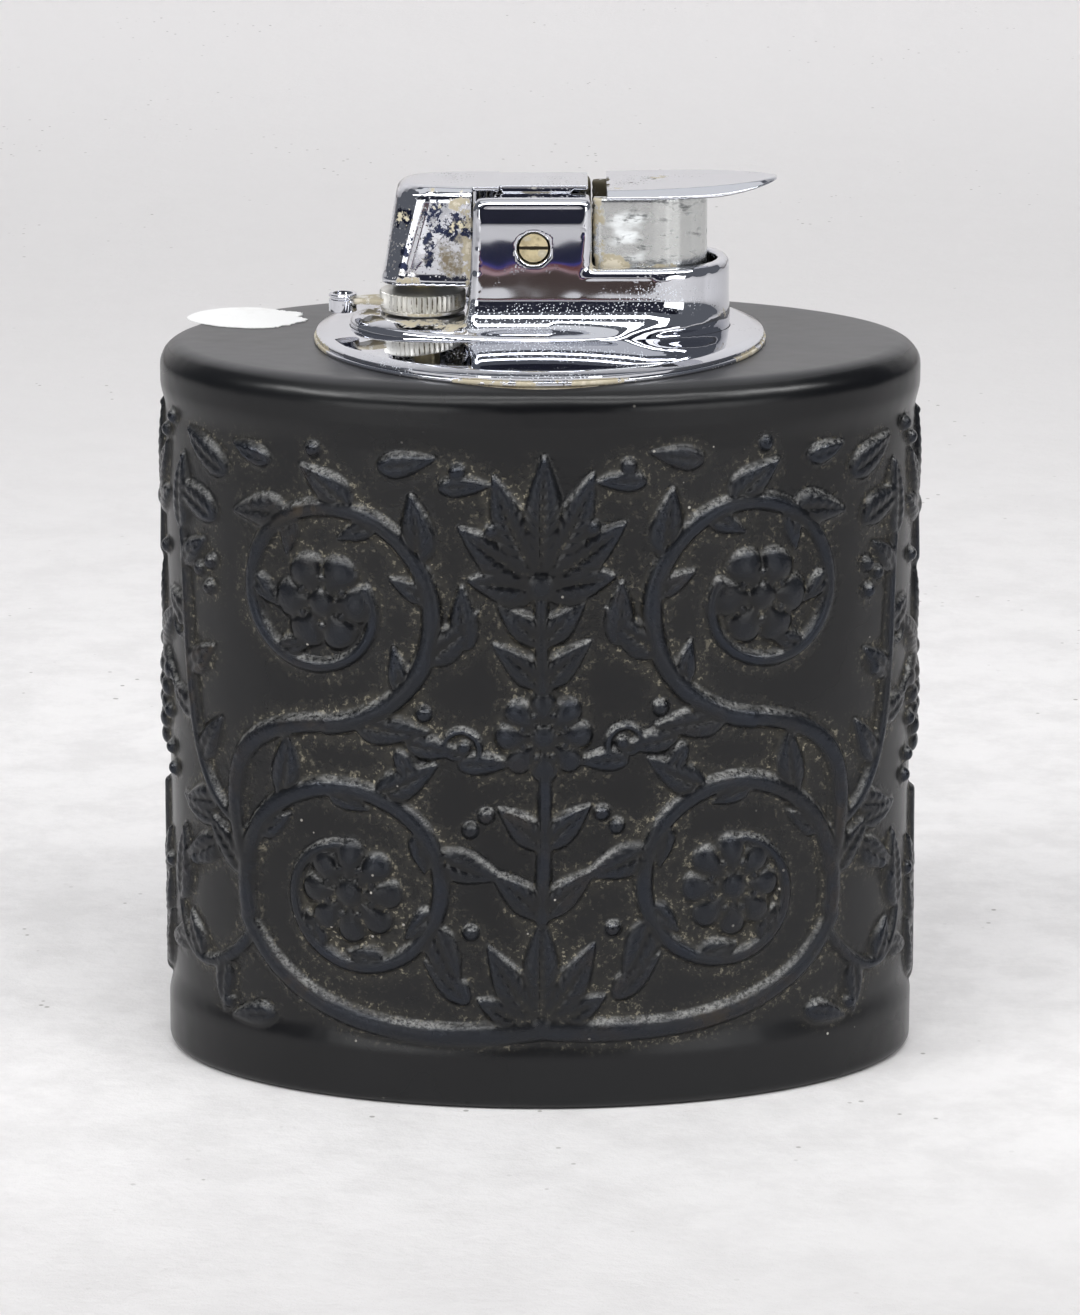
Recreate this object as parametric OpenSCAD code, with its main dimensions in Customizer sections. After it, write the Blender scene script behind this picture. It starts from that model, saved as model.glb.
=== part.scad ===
// Table lighter: an oval ceramic body with a lift-out gas insert.
// Millimetres, +Z up, +X towards the thumb piece, -Y towards the screw slot. Origin: centre of the base.

/* [Body] */
// Length of the oval body, along X
body_w = 85; // [80:0.5:100]
// Depth of the oval body, along Y
body_d = 52.7; // [52:0.1:60]
// Height of the body up to its flat top
body_h = 82; // [72:0.5:110]
// Thickness of the body's side wall
body_wall = 4.5; // [3.5:0.1:4.8]
// Thickness of the body's floor
body_floor = 5; // [3:0.1:10]
// Thickness of the body's top around the mouth
body_roof = 5; // [3:0.1:7]
// Radius of the rounded top edge
rim_r = 2.8; // [1:0.1:3.5]
// Radius of the rounded bottom edge
foot_r = 1.2; // [0.4:0.1:2.5]
// Diameter of the round mouth that takes the insert
mouth_d = 41.5; // [41.3:0.1:42.5]
// Depth of the relief's ground below the body's side
relief_sink = 0.5; // [0.2:0.05:0.6]
// Height of the relief's stems, leaves and flowers above its ground
relief_h = 0.9; // [0.4:0.05:1]

/* [Flange and neck] */
// Outer diameter of the flange
flange_d = 50; // [46:0.1:52]
// Thickness of the ring that the flange sits on
seat_ring_t = 0.5; // [0.3:0.05:0.8]
// How far the seat ring reaches past the flange
seat_ring_lip = 0.2; // [0:0.05:0.5]
// Height of the flange's upright rim
flange_rim_h = 0.45; // [0.3:0.05:0.8]
// Width of the bright bevel on the flange's edge
flange_bevel_w = 1.2; // [0.6:0.1:2]
// Height of that bevel
flange_bevel_h = 0.4; // [0.2:0.05:0.6]
// Rise of the flange's top from the bevel to its middle
flange_crown = 1.3; // [0.9:0.1:1.8]
// Thickness of the plate under the housing
flange_plate_t = 1.5; // [1:0.1:2]
// Outer diameter of the neck below the flange
neck_d = 39.8; // [39.6:0.1:40]
// Wall of the neck
neck_wall = 0.85; // [0.6:0.05:1]
// How far the neck reaches down into the body
neck_h = 9; // [7:0.1:10]
// Height of the rubber grip ring on the neck
grip_h = 6; // [3:0.1:7]
// Thickness of the grip ring
grip_t = 0.55; // [0.3:0.05:0.6]

/* [Housing] */
// Length of the housing's oval foot
foot_w = 42.4; // [42.2:0.1:43.5]
// Depth of the housing's oval foot
foot_d = 24; // [22:0.1:27]
// Depth of the foot's seat in the flange
foot_sink = 0.5; // [0.2:0.05:0.7]
// Height of the platform under the regulator, above that seat
platform_h = 2.1; // [1.8:0.1:2.4]
// Height of the pocket's and slot's floor above the seat
pocket_floor_h = 3; // [2.6:0.1:3.2]
// Height of the cup's rim above the seat
cup_h = 8.4; // [7.8:0.1:8.8]
// Height of the tower above the seat
tower_h = 16.2; // [15:0.1:17]
// Left face of the tower's two cheeks at their base, along X
tower_x0 = -8.1; // [-8.2:0.05:-7.9]
// Right face of the tower, along X
tower_x1 = 5.7; // [5.5:0.05:5.7]
// How far the cheeks' left faces lean in over the tower's height
tower_lean = 0.8; // [0.6:0.05:1]
// Recess between the cheeks that the hood's edge swings in: its wall at its foot, along X
recess_x = -7; // [-7.1:0.05:-6.8]
// How far the recess's wall leans in over the tower's height
recess_lean = 1.95; // [1.9:0.05:2.3]
// Half width of the housing above its flare
cheek_y = 8.95; // [8.6:0.05:9.3]
// How far each cheek leans in over the tower's height
cheek_draft = 0.7; // [0.2:0.05:1]
// Right end of the cup, along X
cup_x1 = 21.05; // [20.8:0.05:21.2]
// Flare of the casting where it meets its foot
flare = 1.6; // [0.6:0.1:2]
// Height over which the flare fades
flare_h = 3.5; // [2:0.1:5]
// Half width of the slot between the cheeks
slot_y = 4.3; // [4.2:0.05:4.6]
// Half width of the cup's pocket
pocket_y = 6.5; // [6.45:0.05:6.8]
// Left end of the cup's pocket, along X
pocket_x0 = 5.85; // [5.75:0.05:5.95]
// Right end of the cup's pocket, along X
pocket_x1 = 19.7; // [19.5:0.05:19.9]

/* [Hood] */
// Hood pivot, along X
pivot_x = -0.7; // [-0.9:0.1:-0.5]
// Hood pivot, height above the housing's seat
pivot_h = 10.8; // [10.6:0.1:11]
// Diameter of the pivot screw's shank
pivot_d = 1.9; // [1.6:0.1:2]
// Diameter of the pivot screw's head
screw_head_d = 3.2; // [2.8:0.1:3.4]
// Height of the pivot screw's head
screw_head_h = 0.9; // [0.6:0.1:1.2]
// Lower left end of the hood, along X
hood_x0 = -17.5; // [-17.8:0.1:-17.2]
// Right edge of the hood's side walls, along X
hood_x1 = -7.45; // [-7.6:0.05:-7.4]
// Half width of the hood at its left end
hood_y0 = 5.4; // [5.1:0.1:5.7]
// Half width of the hood at its right edge
hood_y1 = 6.2; // [5.9:0.1:6.5]
// How far the hood's left end leans in, per millimetre of height
hood_lean = 0.155; // [0.1:0.005:0.22]
// Height of the hood's lower edge above the seat
hood_h0 = 6; // [5.9:0.05:6.3]
// Sheet thickness of the hood
hood_t = 0.55; // [0.45:0.05:0.7]
// Gap between the tower and the hood's plate over it
hood_gap = 0.25; // [0.15:0.05:0.35]
// Radius of the hood's rounded top edge
hood_r = 1.4; // [1:0.1:1.8]
// Right end of the hood's arm, along X
arm_x1 = 5.3; // [4.8:0.1:5.4]
// Right end of the wide plate of the hood, along X
plate_x1 = -4.5; // [-5:0.1:-4]
// Thickness of each of the arm's two lugs
lug_t = 1; // [0.8:0.1:1.1]
// Running gap at the pivot and at the other pins
pin_gap = 0.05; // [0.02:0.01:0.08]

/* [Thumb lever] */
// Lever pin, along X
lever_x = 3.9; // [3.7:0.1:4.1]
// Lever pin, height above the seat
lever_h = 8; // [7.9:0.1:8.1]
// Diameter of the lever pin
lever_pin_d = 1.6; // [1.4:0.1:1.8]
// Left face of the thumb block, along X
block_x0 = 6.05; // [6.05:0.05:6.3]
// Left end of the thumb cap, and wall of the notch that the hood's arm swings in, along X
cap_x0 = 7.4; // [7.3:0.1:7.8]
// Right end of the thumb block, along X
block_x1 = 18.56; // [18.2:0.02:18.7]
// Half width of the thumb block
block_y = 6.2; // [5.8:0.1:6.2]
// Height of the thumb block's underside above the seat
block_h0 = 7; // [6.9:0.05:7.2]
// Height of the thumb block
block_h = 8.9; // [8.5:0.1:9]
// Tip of the thumb cap, along X
cap_x1 = 26.3; // [24:0.1:27]
// Half width of the thumb cap
cap_y = 6.8; // [6.5:0.1:7.2]
// Thickness of the thumb cap over the block
cap_t = 0.9; // [0.7:0.05:1.1]
// Rise of the thumb cap's top towards its tip
cap_rise = 0.6; // [0.2:0.1:1]
// Inner face of the lever's two prongs, along Y
prong_y = 1.9; // [1.85:0.05:2]
// Thickness of each prong
prong_t = 0.8; // [0.6:0.1:0.8]
// Diameter of the drive studs on the hood's lugs
stud_d = 1.2; // [1:0.1:1.3]

/* [Spark and flint] */
// Spark wheel axle, along X
spark_x = -4.2; // [-4.3:0.05:-4.1]
// Spark wheel axle, height above the seat
spark_h = 7.5; // [7.4:0.05:7.6]
// Diameter of the spark wheel
spark_d = 6; // [5.4:0.1:6.2]
// Width of the spark wheel's file-cut rim
spark_w = 2.4; // [1.8:0.1:2.4]
// Number of cuts on the spark wheel
spark_teeth = 36; // [24:1:48]
// Diameter of the ratchet wheel
ratchet_d = 4; // [3.6:0.1:4.1]
// Width of the ratchet wheel
ratchet_w = 0.8; // [0.6:0.1:0.8]
// Diameter of the spark wheel's axle
axle_d = 1.2; // [1:0.1:1.3]
// Diameter of the flint
flint_d = 2.6; // [2.4:0.1:2.7]
// Length of the flint
flint_l = 5.5; // [3:0.1:7]
// Outer diameter of the flint tube
flint_tube_d = 4.2; // [3.9:0.1:4.3]
// Wall of the flint tube
flint_tube_wall = 0.65; // [0.4:0.05:0.65]
// Diameter of the flint screw's head
flint_screw_d = 6.4; // [5:0.1:8]

/* [Regulator and burner] */
// Burner and regulator axis, along X
burner_x = -13.07; // [-13.2:0.01:-12.9]
// Diameter of the regulator wheel over its knurl
wheel_d = 9.6; // [9:0.1:9.8]
// Height of the regulator wheel
wheel_h = 2.8; // [2.4:0.1:2.9]
// Number of knurls on the regulator wheel
wheel_teeth = 48; // [36:1:60]
// Diameter of the threaded hub under the wheel
hub_d = 6; // [5.4:0.1:6.2]
// Distance from the wheel's axis to the knob's
knob_reach = 8.9; // [8.6:0.1:9.5]
// Diameter of the knob
knob_d = 3.15; // [2.8:0.05:3.4]
// Height of the knob
knob_h = 2.05; // [1.8:0.05:2.3]
// Angle of the regulator's arm as it rests, towards -Y
arm_angle = 5; // [0:1:15]
// Thickness of the regulator's arm
arm_t = 0.6; // [0.4:0.05:0.8]
// Outer diameter of the burner tube
burner_d = 3; // [2.6:0.1:3.2]
// Height of the burner's mouth above the seat
burner_h = 10.2; // [9:0.1:11]
// Diameter of the burner's lifting collar
collar_d = 8.6; // [8.4:0.1:9]
// Push rod, along X
rod_x = 16.5; // [16:0.1:16.7]
// Diameter of the push rod
rod_d = 2; // [1.6:0.1:2.1]
// Pin of the valve rocker, along X
rocker_x = -7.6; // [-7.8:0.1:-7.5]
// Diameter of the rocker pin
rocker_pin_d = 1.2; // [0.9:0.1:1.2]
// Outer diameter of the valve body
valve_d = 7; // [6:0.1:7.2]
// Length of the valve body inside the tank
valve_l = 12; // [8:0.1:20]

/* [Tank] */
// Outer diameter of the tank
tank_d = 38; // [37.7:0.1:38]
// Wall of the tank
tank_wall = 1; // [0.6:0.1:1.2]
// Thickness of the tank's floor
tank_floor = 1.2; // [0.8:0.1:2]
// Depth of the tank below the body's top
tank_depth = 54; // [35:0.5:60]
// Depth of the tank's lid below the body's top
lid_depth = 10; // [9.9:0.1:11]
// Thickness of the tank's lid
lid_t = 1.2; // [0.8:0.1:2]
// Filler valve, along X
filler_x = 9; // [6.5:0.1:12]
// Outer diameter of the filler valve
filler_d = 6; // [5.6:0.1:7]
// Travel of the filler valve's stem
filler_travel = 1.5; // [1:0.1:2]

/* [Hidden] */
$fn = 64;

// Small gap between parts that are seated, screwed or pressed together
seat_gap = 0.05;
// Smaller gap under parts that rest on one another
rest_gap = 0.01;
// Overlap of a cut past the face it opens
cut = 1;
// Height of the thin slice by which joined forms run into each other
bite = 0.4;

// Heights of the insert, from the body's top upwards
flange_z = body_h + seat_ring_t;
seat_z = flange_z + foot_sink;
plate_z = seat_z - flange_plate_t;
platform_z = seat_z + platform_h;
pocket_z = seat_z + pocket_floor_h;
cup_z = seat_z + cup_h;
tower_z = seat_z + tower_h;
pivot_z = seat_z + pivot_h;
lever_z = seat_z + lever_h;
spark_z = seat_z + spark_h;
hood_z0 = seat_z + hood_h0;
plate_under_z = tower_z + hood_gap;
hood_z1 = plate_under_z + hood_t;
block_z0 = seat_z + block_h0;
block_z1 = block_z0 + block_h;
burner_z1 = seat_z + burner_h;

// Inner edge of the ring and of the flange's rim, on the neck
neck_r = neck_d / 2;
flange_top_r = flange_d / 2 - flange_bevel_w;
flange_bevel_z = flange_z + flange_rim_h + flange_bevel_h;
flange_mid_r = 6;

// Screws that hold the housing
housing_screw_x = -0.5;
housing_screw_y = 6.3;
housing_screw_r = 0.8;
housing_screw_l = 4.6;
housing_screw_head_r = 1.9;
housing_screw_head_h = 1.2;
housing_screw_slot = 0.5;

// Chamber between the plate and the tank's lid, where the valve rocker works: depths below the plate
skirt_depth = 3.5;
collar_depth = 2.9;
hub_depth = 1.3;
rocker_depth = 3.6;
lid_z = body_h - lid_depth;
tank_z0 = body_h - tank_depth;
tank_r = tank_d / 2;
tank_inner_r = tank_r - tank_wall;
skirt_z = plate_z - skirt_depth;
collar_z = plate_z - collar_depth;
collar_t = 0.8;
hub_z0 = plate_z - hub_depth;
rocker_z = plate_z - rocker_depth;
rocker_nose_r = 0.8;
rocker_y0 = 2.5;
rocker_bar_t = 0.8;
rocker_bar_h = 1.2;
bracket_t = 0.8;
bracket_y = rocker_y0 + rocker_bar_t + 0.4;
bracket_reach = 1.3;
bracket_foot_t = 0.7;

// Burner tube, from inside the valve body up to its jet
burner_dip = 6;
burner_z0 = lid_z - burner_dip;
burner_bore_r = 0.6;
burner_wire = 0.4;
jet_h = 1.5;
jet_plug_h = 1.1;
jet_bore_r = 0.25;

// Thread and bore radii
pivot_r = pivot_d / 2;
lever_pin_r = lever_pin_d / 2;
axle_r = axle_d / 2;
burner_r = burner_d / 2;
rod_r = rod_d / 2;
hub_r = hub_d / 2;
flint_tube_r = flint_tube_d / 2;
flint_bore_r = flint_tube_r - flint_tube_wall;
valve_r = valve_d / 2;

// Rounding of the tower's top edges, and half width of the recess that the hood's edge swings in
tower_r = 0.85;
recess_y = hood_y1 + 0.25;

// Blind ends of the pins in the front cheek, and their flush ends at the back cheek
pin_front_y = -6.5;
pin_back_y = 8.1;
screw_bore_r = screw_head_d / 2 + 0.2;
screw_face_y = 8.55;
screw_sink = 0.35;

// Lugs of the hood: their outer faces run just inside the slot
lug_y1 = slot_y - 0.3;
lug_y0 = lug_y1 - lug_t;
stud_x = pivot_x - 2.2;
stud_z = pivot_z - 1.9;
prong_gap = 0.05;
prong_top_z = stud_z - stud_d / 2 - prong_gap;
prong_x0 = stud_x - 0.4;
prong_h = 1.1;
prong_boss_r = lever_pin_r + 0.9;

// Spark and ratchet wheels share the space between the prongs
spark_gap = 0.3;
ratchet_y1 = prong_y - spark_gap;
ratchet_y0 = ratchet_y1 - ratchet_w;
spark_y0 = ratchet_y0 - spark_w;
flint_z1 = spark_z - spark_d / 2 - seat_gap;
flint_tube_z1 = pocket_z + 0.8;
flint_screw_l = 12;

// Regulator, above the platform
wheel_z0 = platform_z + 0.2;
wheel_lip_h = 0.4;
wheel_bevel_h = 0.5;
wheel_bevel_w = 1.9;
wheel_z1 = wheel_z0 + wheel_h;
hub_bore_r = burner_r + 0.25;
arm_z0 = wheel_z0 + 0.85;
knob_z0 = wheel_z0 - 0.05;

// Lever spring in the cup, under the block
spring_x = 11.5;
spring_r = 2.05;
spring_wire = 0.5;
spring_pocket_h = 2.8;

// Filler valve, from the tank's floor
filler_r = filler_d / 2;
filler_head_h = 1.2;
filler_head_r = filler_r + 1;
filler_stem_r = 0.9;
filler_step = 2;
filler_seal_h = 0.9;
filler_shoulder_t = 0.8;
filler_room = 1.9 + filler_travel;
filler_z0 = tank_z0 - filler_head_h;
filler_seat_z = tank_z0 + filler_step;
filler_shoulder_z = filler_seat_z + filler_seal_h + 0.1;
filler_cap_z = filler_shoulder_z + filler_shoulder_t + filler_room;
filler_cap_t = 0.8;
filler_chamber_r = filler_r - 0.8;

// Oval outline, half axes a and b
function oval(a, b, n) = [for (i = [0 : n - 1]) [a * cos(360 * i / n), b * sin(360 * i / n)]];

// Quarter circle about c, radius r, from angle a on, without a doubled corner where r is small
function corner(c, r, a, steps = 6) = [for (i = [0 : steps])
  [c[0] + r * cos(a + 90 * i / steps), c[1] + r * sin(a + 90 * i / steps)]];

// Long outline: x0 to x1, half width y, corner radius r0 at the left and r1 at the right
function long_outline(x0, x1, y, r0, r1) = concat(
  corner([x1 - r1, -y + r1], r1, -90),
  corner([x1 - r1, y - r1], r1, 0),
  corner([x0 + r0, y - r0], r0, 90),
  corner([x0 + r0, -y + r0], r0, 180));

// Hood outline: half width y1 at x1 falling to y0 at x0, corner radius r at the left
function hood_outline(x0, x1, y0, y1, r) = concat(
  [[x1, -y1], [x1, y1]],
  corner([x0 + r, y0 - r], r, 90, 8),
  corner([x0 + r, -y0 + r], r, 180, 8));

// Toothed outline with n teeth between radii r0 and r1
function teeth(r0, r1, n) = [for (i = [0 : n - 1], s = [0 : 3])
  let (a = 360 * (i + [0, 0.3, 0.5, 0.8][s]) / n, r = [r0, r1, r1, r0][s]) [r * cos(a), r * sin(a)]];

// Saw-toothed outline with n teeth between radii r0 and r1
function saw(r0, r1, n) = [for (i = [0 : n - 1], s = [0 : 1])
  let (a = 360 * (i + 0.08 * s) / n, r = [r0, r1][s]) [r * cos(a), r * sin(a)]];

// The same outline at height z
function at_z(outline, z) = [for (p = outline) [p[0], p[1], z]];

// Body's side: columns in a quarter of its girth, arc length against angle, and that quarter's length
side_n = 30;
quarter = [for (i = 0, s = 0; i <= 90;
  s = s + norm([body_w / 2 * sin(i + 0.5), body_d / 2 * cos(i + 0.5)]) * PI / 180, i = i + 1) [s, i]];
quarter_l = quarter[90][0];

// Angle of column i, counted from +X round the oval at equal steps of its girth
function column_turn(i) =
  let (q = floor(i / side_n), s = (i - q * side_n) / side_n * quarter_l)
  q % 2 == 0 ? 90 * q + turn_of(s) : 90 * (q + 1) - turn_of(quarter_l - s);

// Angle at arc length s in the first quarter
function turn_of(s) =
  let (hits = [for (k = [1 : 90]) if (quarter[k][0] >= s - 0.000001) k], k = hits[0])
  k - (quarter[k][0] - s) / (quarter[k][0] - quarter[k - 1][0]);

column_turns = [for (i = [0 : 4 * side_n - 1]) column_turn(i)];

// Ring of the body at height z: half axes drawn in by inset, its side raised by the heights of its columns
function body_ring(z, inset, heights) = [for (i = [0 : 4 * side_n - 1])
  let (t = column_turns[i], a = body_w / 2, b = body_d / 2, out = [cos(t) / a, sin(t) / b],
    h = heights[abs(i % (2 * side_n) - side_n)],
    p = [(a - inset) * cos(t), (b - inset) * sin(t)] + out / norm(out) * h)
  [p[0], p[1], z]];

// The relief is drawn on a quarter of the girth, 54.8 wide and 82 high, from the middle of a long side.
// Each of these functions gives the rise of one form at the point p of that drawing, from 0 to about 1.
// Stem along the line from a to b, half width w
function stem_rise(p, a, b, w) =
  let (d = b - a, t = min(1, max(0, (p - a) * d / (d * d))))
  1 - pow(min(1, norm(p - a - t * d) / w), 2);

// Scroll s: [centre x, centre y, first radius, last radius, first angle, last angle]
function scroll_rise(p, s) =
  let (q = p - [s[0], s[1]], r = norm(q), turn = abs(s[5] - s[4]), hand = sign(s[5] - s[4]),
    a = ((atan2(q[1], q[0]) - s[4]) * hand % 360 + 360) % 360)
  a > turn ? 0 : 1 - pow(min(1, abs(r - s[2] - (s[3] - s[2]) * a / turn) / 2.2), 2);

// Leaf l: [foot x, foot y, angle, length, half width, bend]
function leaf_rise(p, l) =
  let (q = p - [l[0], l[1]], t = (q[0] * cos(l[2]) + q[1] * sin(l[2])) / l[3],
    off = q[1] * cos(l[2]) - q[0] * sin(l[2]) - l[5] * l[3] * t * t)
  t <= 0 || t >= 1 ? 0 : 1 - pow(min(1, abs(off) / (l[4] * pow(sin(180 * pow(t, 0.75)), 0.8) + 0.01)), 2);

// Flower f: [centre x, centre y, radius, petals]
function flower_rise(p, f) =
  let (q = p - [f[0], f[1]], petal = abs(cos(f[3] * atan2(q[1], q[0]) / 2)),
    r = norm(q) / f[2] / (0.75 + 0.25 * petal))
  r >= 1 ? 0 : 1.25 * (1 - pow(r, 2.5));

// Points of a smooth curve from a to d, pulled towards b and c
function curve(a, b, c, d, n) = [for (i = [0 : n]) let (t = i / n, u = 1 - t)
  u * u * u * a + 3 * t * u * u * b + 3 * t * t * u * c + t * t * t * d];

// Leaves that spread upwards from one point: each of turns is [angle from upright, share of the length]
function fan(x, y, long, wide, turns) = [for (f = turns)
  [x, y, 90 + f[0], long * f[1], wide, f[0] == 0 ? 0 : -0.12 * sign(f[0])]];

// Leaves on one side of scroll s, at those shares of its length
function sprigs(s, shares, side) = [for (t = shares)
  let (a = s[4] + (s[5] - s[4]) * t, r = s[2] + (s[3] - s[2]) * t, hand = sign(s[5] - s[4]))
  [s[0] + r * cos(a), s[1] + r * sin(a), a + 90 * hand + side * 38, 9.4 - 2 * t, 2.9, -0.2 * side]];

// Rise of the whole drawing at p
function relief_rise(p) = max(concat([0],
  [for (line = relief_stems, k = [1 : len(line) - 1]) stem_rise(p, line[k - 1], line[k], 2.1)],
  [for (s = relief_scrolls) scroll_rise(p, s)],
  [for (l = relief_leaves) norm(p - [l[0], l[1]]) > l[3] + 1 ? 0 : leaf_rise(p, l)],
  [for (f = relief_flowers) flower_rise(p, f)]));

// The drawing's forms
relief_scrolls = [[21, 24.8, 13.8, 8.4, -18, 272], [24.2, 57.6, 13.9, 8.3, -92, -392]];
relief_flowers = [[21, 24.8, 6.4, 6], [24.2, 57.6, 6.2, 6], [0, 43, 6.2, 6]];
relief_stems = [
  curve([0, 9.4], [7, 8.4], [27, 6.6], [34.4, 20], 8),
  curve([34.2, 26], [38.6, 38], [33, 43], [23.6, 43.8], 6),
  curve([36.4, 31], [45, 36], [42.6, 50], [45, 62], 5),
  curve([33.8, 18], [38.5, 11.5], [44.5, 11], [46.6, 18.5], 4),
  [[0, 22], [0, 38]], [[0, 48.2], [0, 58]], [[54.8, 8.5], [54.8, 30]], [[54.8, 57.5], [54.8, 64]]];
relief_leaves = concat(
  fan(0, 9.6, 13, 2.9, [[0, 1], [-52, 0.9]]),
  fan(0, 60, 14.5, 3, [[0, 1], [-38, 0.95], [-80, 0.7]]),
  fan(54.8, 47, 10.5, 2.8, [[0, 1], [68, 1]]),
  fan(54.8, 63.5, 11.5, 2.8, [[0, 1], [52, 0.85]]),
  sprigs(relief_scrolls[0], [0.06, 0.36, 0.7], -1),
  sprigs(relief_scrolls[1], [0.05, 0.35, 0.66], 1),
  [[54.8, 46.5, -90, 14, 6.8, 0], [0, 48.8, 55, 8.5, 2.8, 0], [54.8, 20, 130, 9, 2.8, 0],
    [45, 60, 84, 11, 3, 0.14], [46.6, 16.5, 104, 11, 3, -0.14], [38, 66, 26, 9.5, 2.8, 0]]);

// Heights of the relief over its ground, for each row of the body's side and each column of a quarter
relief_rows = 34;
relief_scale = body_h / 82;
relief_z = [for (j = [0 : relief_rows]) (9 + 65.4 * j / relief_rows) * relief_scale];
relief_map = [for (j = [0 : relief_rows]) [for (k = [0 : side_n])
  relief_rise([54.8 * k / side_n, 9 + 65.4 * j / relief_rows]) * relief_h - relief_sink]];
function level(h) = [for (k = [0 : side_n]) h];

// Rings of the body's side, each as [height, inset, heights of its columns]
body_rings = concat(
  [for (t = [0 : 30 : 90]) [foot_r * (1 - cos(t)), foot_r * (1 - sin(t)), level(0)]],
  [[5.6 * relief_scale, 0, level(0)], [7.3 * relief_scale, 0, level(-relief_sink / 2)]],
  [for (j = [0 : relief_rows]) [relief_z[j], 0, relief_map[j]]],
  [[76 * relief_scale, 0, level(-relief_sink / 2)], [77.6 * relief_scale, 0, level(0)]],
  [for (t = [0 : 18 : 90]) [body_h - rim_r * (1 - sin(t)), rim_r * (1 - cos(t)), level(0)]]);

// Closed outer form of the body, each cell of its side split along the diagonal whose ends are most alike
module body_form() {
  n = 4 * side_n;
  m = len(body_rings);
  fold = [for (i = [0 : n]) abs(i % (2 * side_n) - side_n)];
  sides = [for (k = [0 : m - 2], i = [0 : n - 1])
    let (low = body_rings[k][2], high = body_rings[k + 1][2], a = k * n + i, b = k * n + (i + 1) % n,
      across = abs(low[fold[i]] - high[fold[i + 1]]) - abs(low[fold[i + 1]] - high[fold[i]]),
      first = across < -0.001 || (across < 0.001 && floor(i / side_n) % 2 == 0))
    each (first ? [[a, a + n, b + n], [a, b + n, b]] : [[a, a + n, b], [b, a + n, b + n]])];
  caps = [[for (i = [0 : n - 1]) i], [for (i = [n - 1 : -1 : 0]) (m - 1) * n + i]];
  polyhedron([for (r = body_rings) each body_ring(r[0], r[1], r[2])], concat(sides, caps));
}

// Closed solid through a stack of like rings, each counter-clockwise seen from the last one
module loft(rings) {
  n = len(rings[0]);
  m = len(rings);
  sides = [for (k = [0 : m - 2], i = [0 : n - 1]) each [
    [k * n + i, (k + 1) * n + i, (k + 1) * n + (i + 1) % n],
    [k * n + i, (k + 1) * n + (i + 1) % n, k * n + (i + 1) % n]]];
  caps = [[for (i = [0 : n - 1]) i], [for (i = [n - 1 : -1 : 0]) (m - 1) * n + i]];
  polyhedron([for (r = rings) each r], concat(sides, caps));
}

// Coil spring of mean radius r and wire w, from z0 to z1
module coil(r, w, z0, z1, turns) {
  steps = 12;
  sides = 6;
  loft([for (k = [0 : turns * steps])
    let (a = 360 * k / steps, z = z0 + w / 2 + (z1 - z0 - w) * k / (turns * steps))
    [for (s = [0 : sides - 1]) let (b = -360 * s / sides, d = r + w / 2 * cos(b))
      [d * cos(a), d * sin(a), z + w / 2 * sin(b)]]]);
}

// Cylinder along Y through (x, z), from y0 to y1
module bar(x, z, r, y0, y1) {
  translate([x, y1, z]) rotate([90, 0, 0]) cylinder(r = r, h = y1 - y0);
}

// Flat piece in the XZ plane, from y0 to y1
module flat(y0, y1) {
  translate([0, y1, 0]) rotate([90, 0, 0]) linear_extrude(y1 - y0) children();
}

// Two flat pieces, mirrored about the XZ plane
module flat_pair(y0, y1) {
  for (side = [0, 1]) mirror([0, side, 0]) flat(y0, y1) children();
}

// Tube standing at z0
module tube(r1, r0, z0, h) {
  rotate_extrude() translate([r0, z0]) square([r1 - r0, h]);
}

// Slip-cast ceramic body: one oval shell with a moulded relief on its side and a round mouth, which is as
// wide as that all the way down
module body_shell() {
  a = body_w / 2;
  b = body_d / 2;
  inner_top = body_h - body_roof;
  color("#17181a") difference() {
    body_form();
    loft([for (z = [body_floor, inner_top]) at_z(oval(a - body_wall, b - body_wall, 64), z)]);
    translate([0, 0, body_floor]) cylinder(d = mouth_d, h = body_h - body_floor + cut);
  }
}

// Thin ring between the ceramic and the flange
module seat_ring() {
  color("#8f8d86") tube(flange_d / 2 + seat_ring_lip, neck_r + seat_gap, body_h, seat_ring_t);
}

// Chromed flange: a crowned disc with a neck below and an oval seat for the housing
module flange() {
  color("#c9ccd0") difference() {
    rotate_extrude() polygon([
      [0, plate_z], [neck_r - neck_wall, plate_z], [neck_r - neck_wall, body_h - neck_h],
      [neck_r, body_h - neck_h], [neck_r, flange_z], [flange_d / 2, flange_z],
      [flange_d / 2, flange_z + flange_rim_h], [flange_top_r, flange_bevel_z],
      [flange_mid_r, flange_bevel_z + flange_crown], [0, flange_bevel_z + flange_crown]]);
    translate([0, 0, seat_z])
      linear_extrude(flange_crown + cut + 1)
        polygon(oval(foot_w / 2 + seat_gap, foot_d / 2 + seat_gap, 64));
    translate([burner_x, 0, plate_z - cut]) cylinder(r = hub_r + pin_gap, h = flange_plate_t + 2 * cut);
    translate([spark_x, 0, plate_z - cut]) cylinder(r = flint_tube_r + seat_gap, h = flange_plate_t + 2 * cut);
    translate([rod_x, 0, plate_z - cut]) cylinder(r = rod_r + pin_gap, h = flange_plate_t + 2 * cut);
    housing_screw_places() translate([0, 0, plate_z - cut])
      cylinder(r = housing_screw_r + 0.25, h = flange_plate_t + 2 * cut);
  }
}

// Rubber ring that grips the mouth
module grip_ring() {
  color("#2a2622") tube(neck_r + grip_t, neck_r + seat_gap, body_h - 1 - grip_h, grip_h);
}

// Places of the two screws that hold the housing, one under each cheek
module housing_screw_places() {
  for (side = [-1, 1]) translate([housing_screw_x, side * housing_screw_y, 0]) children();
}

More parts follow.
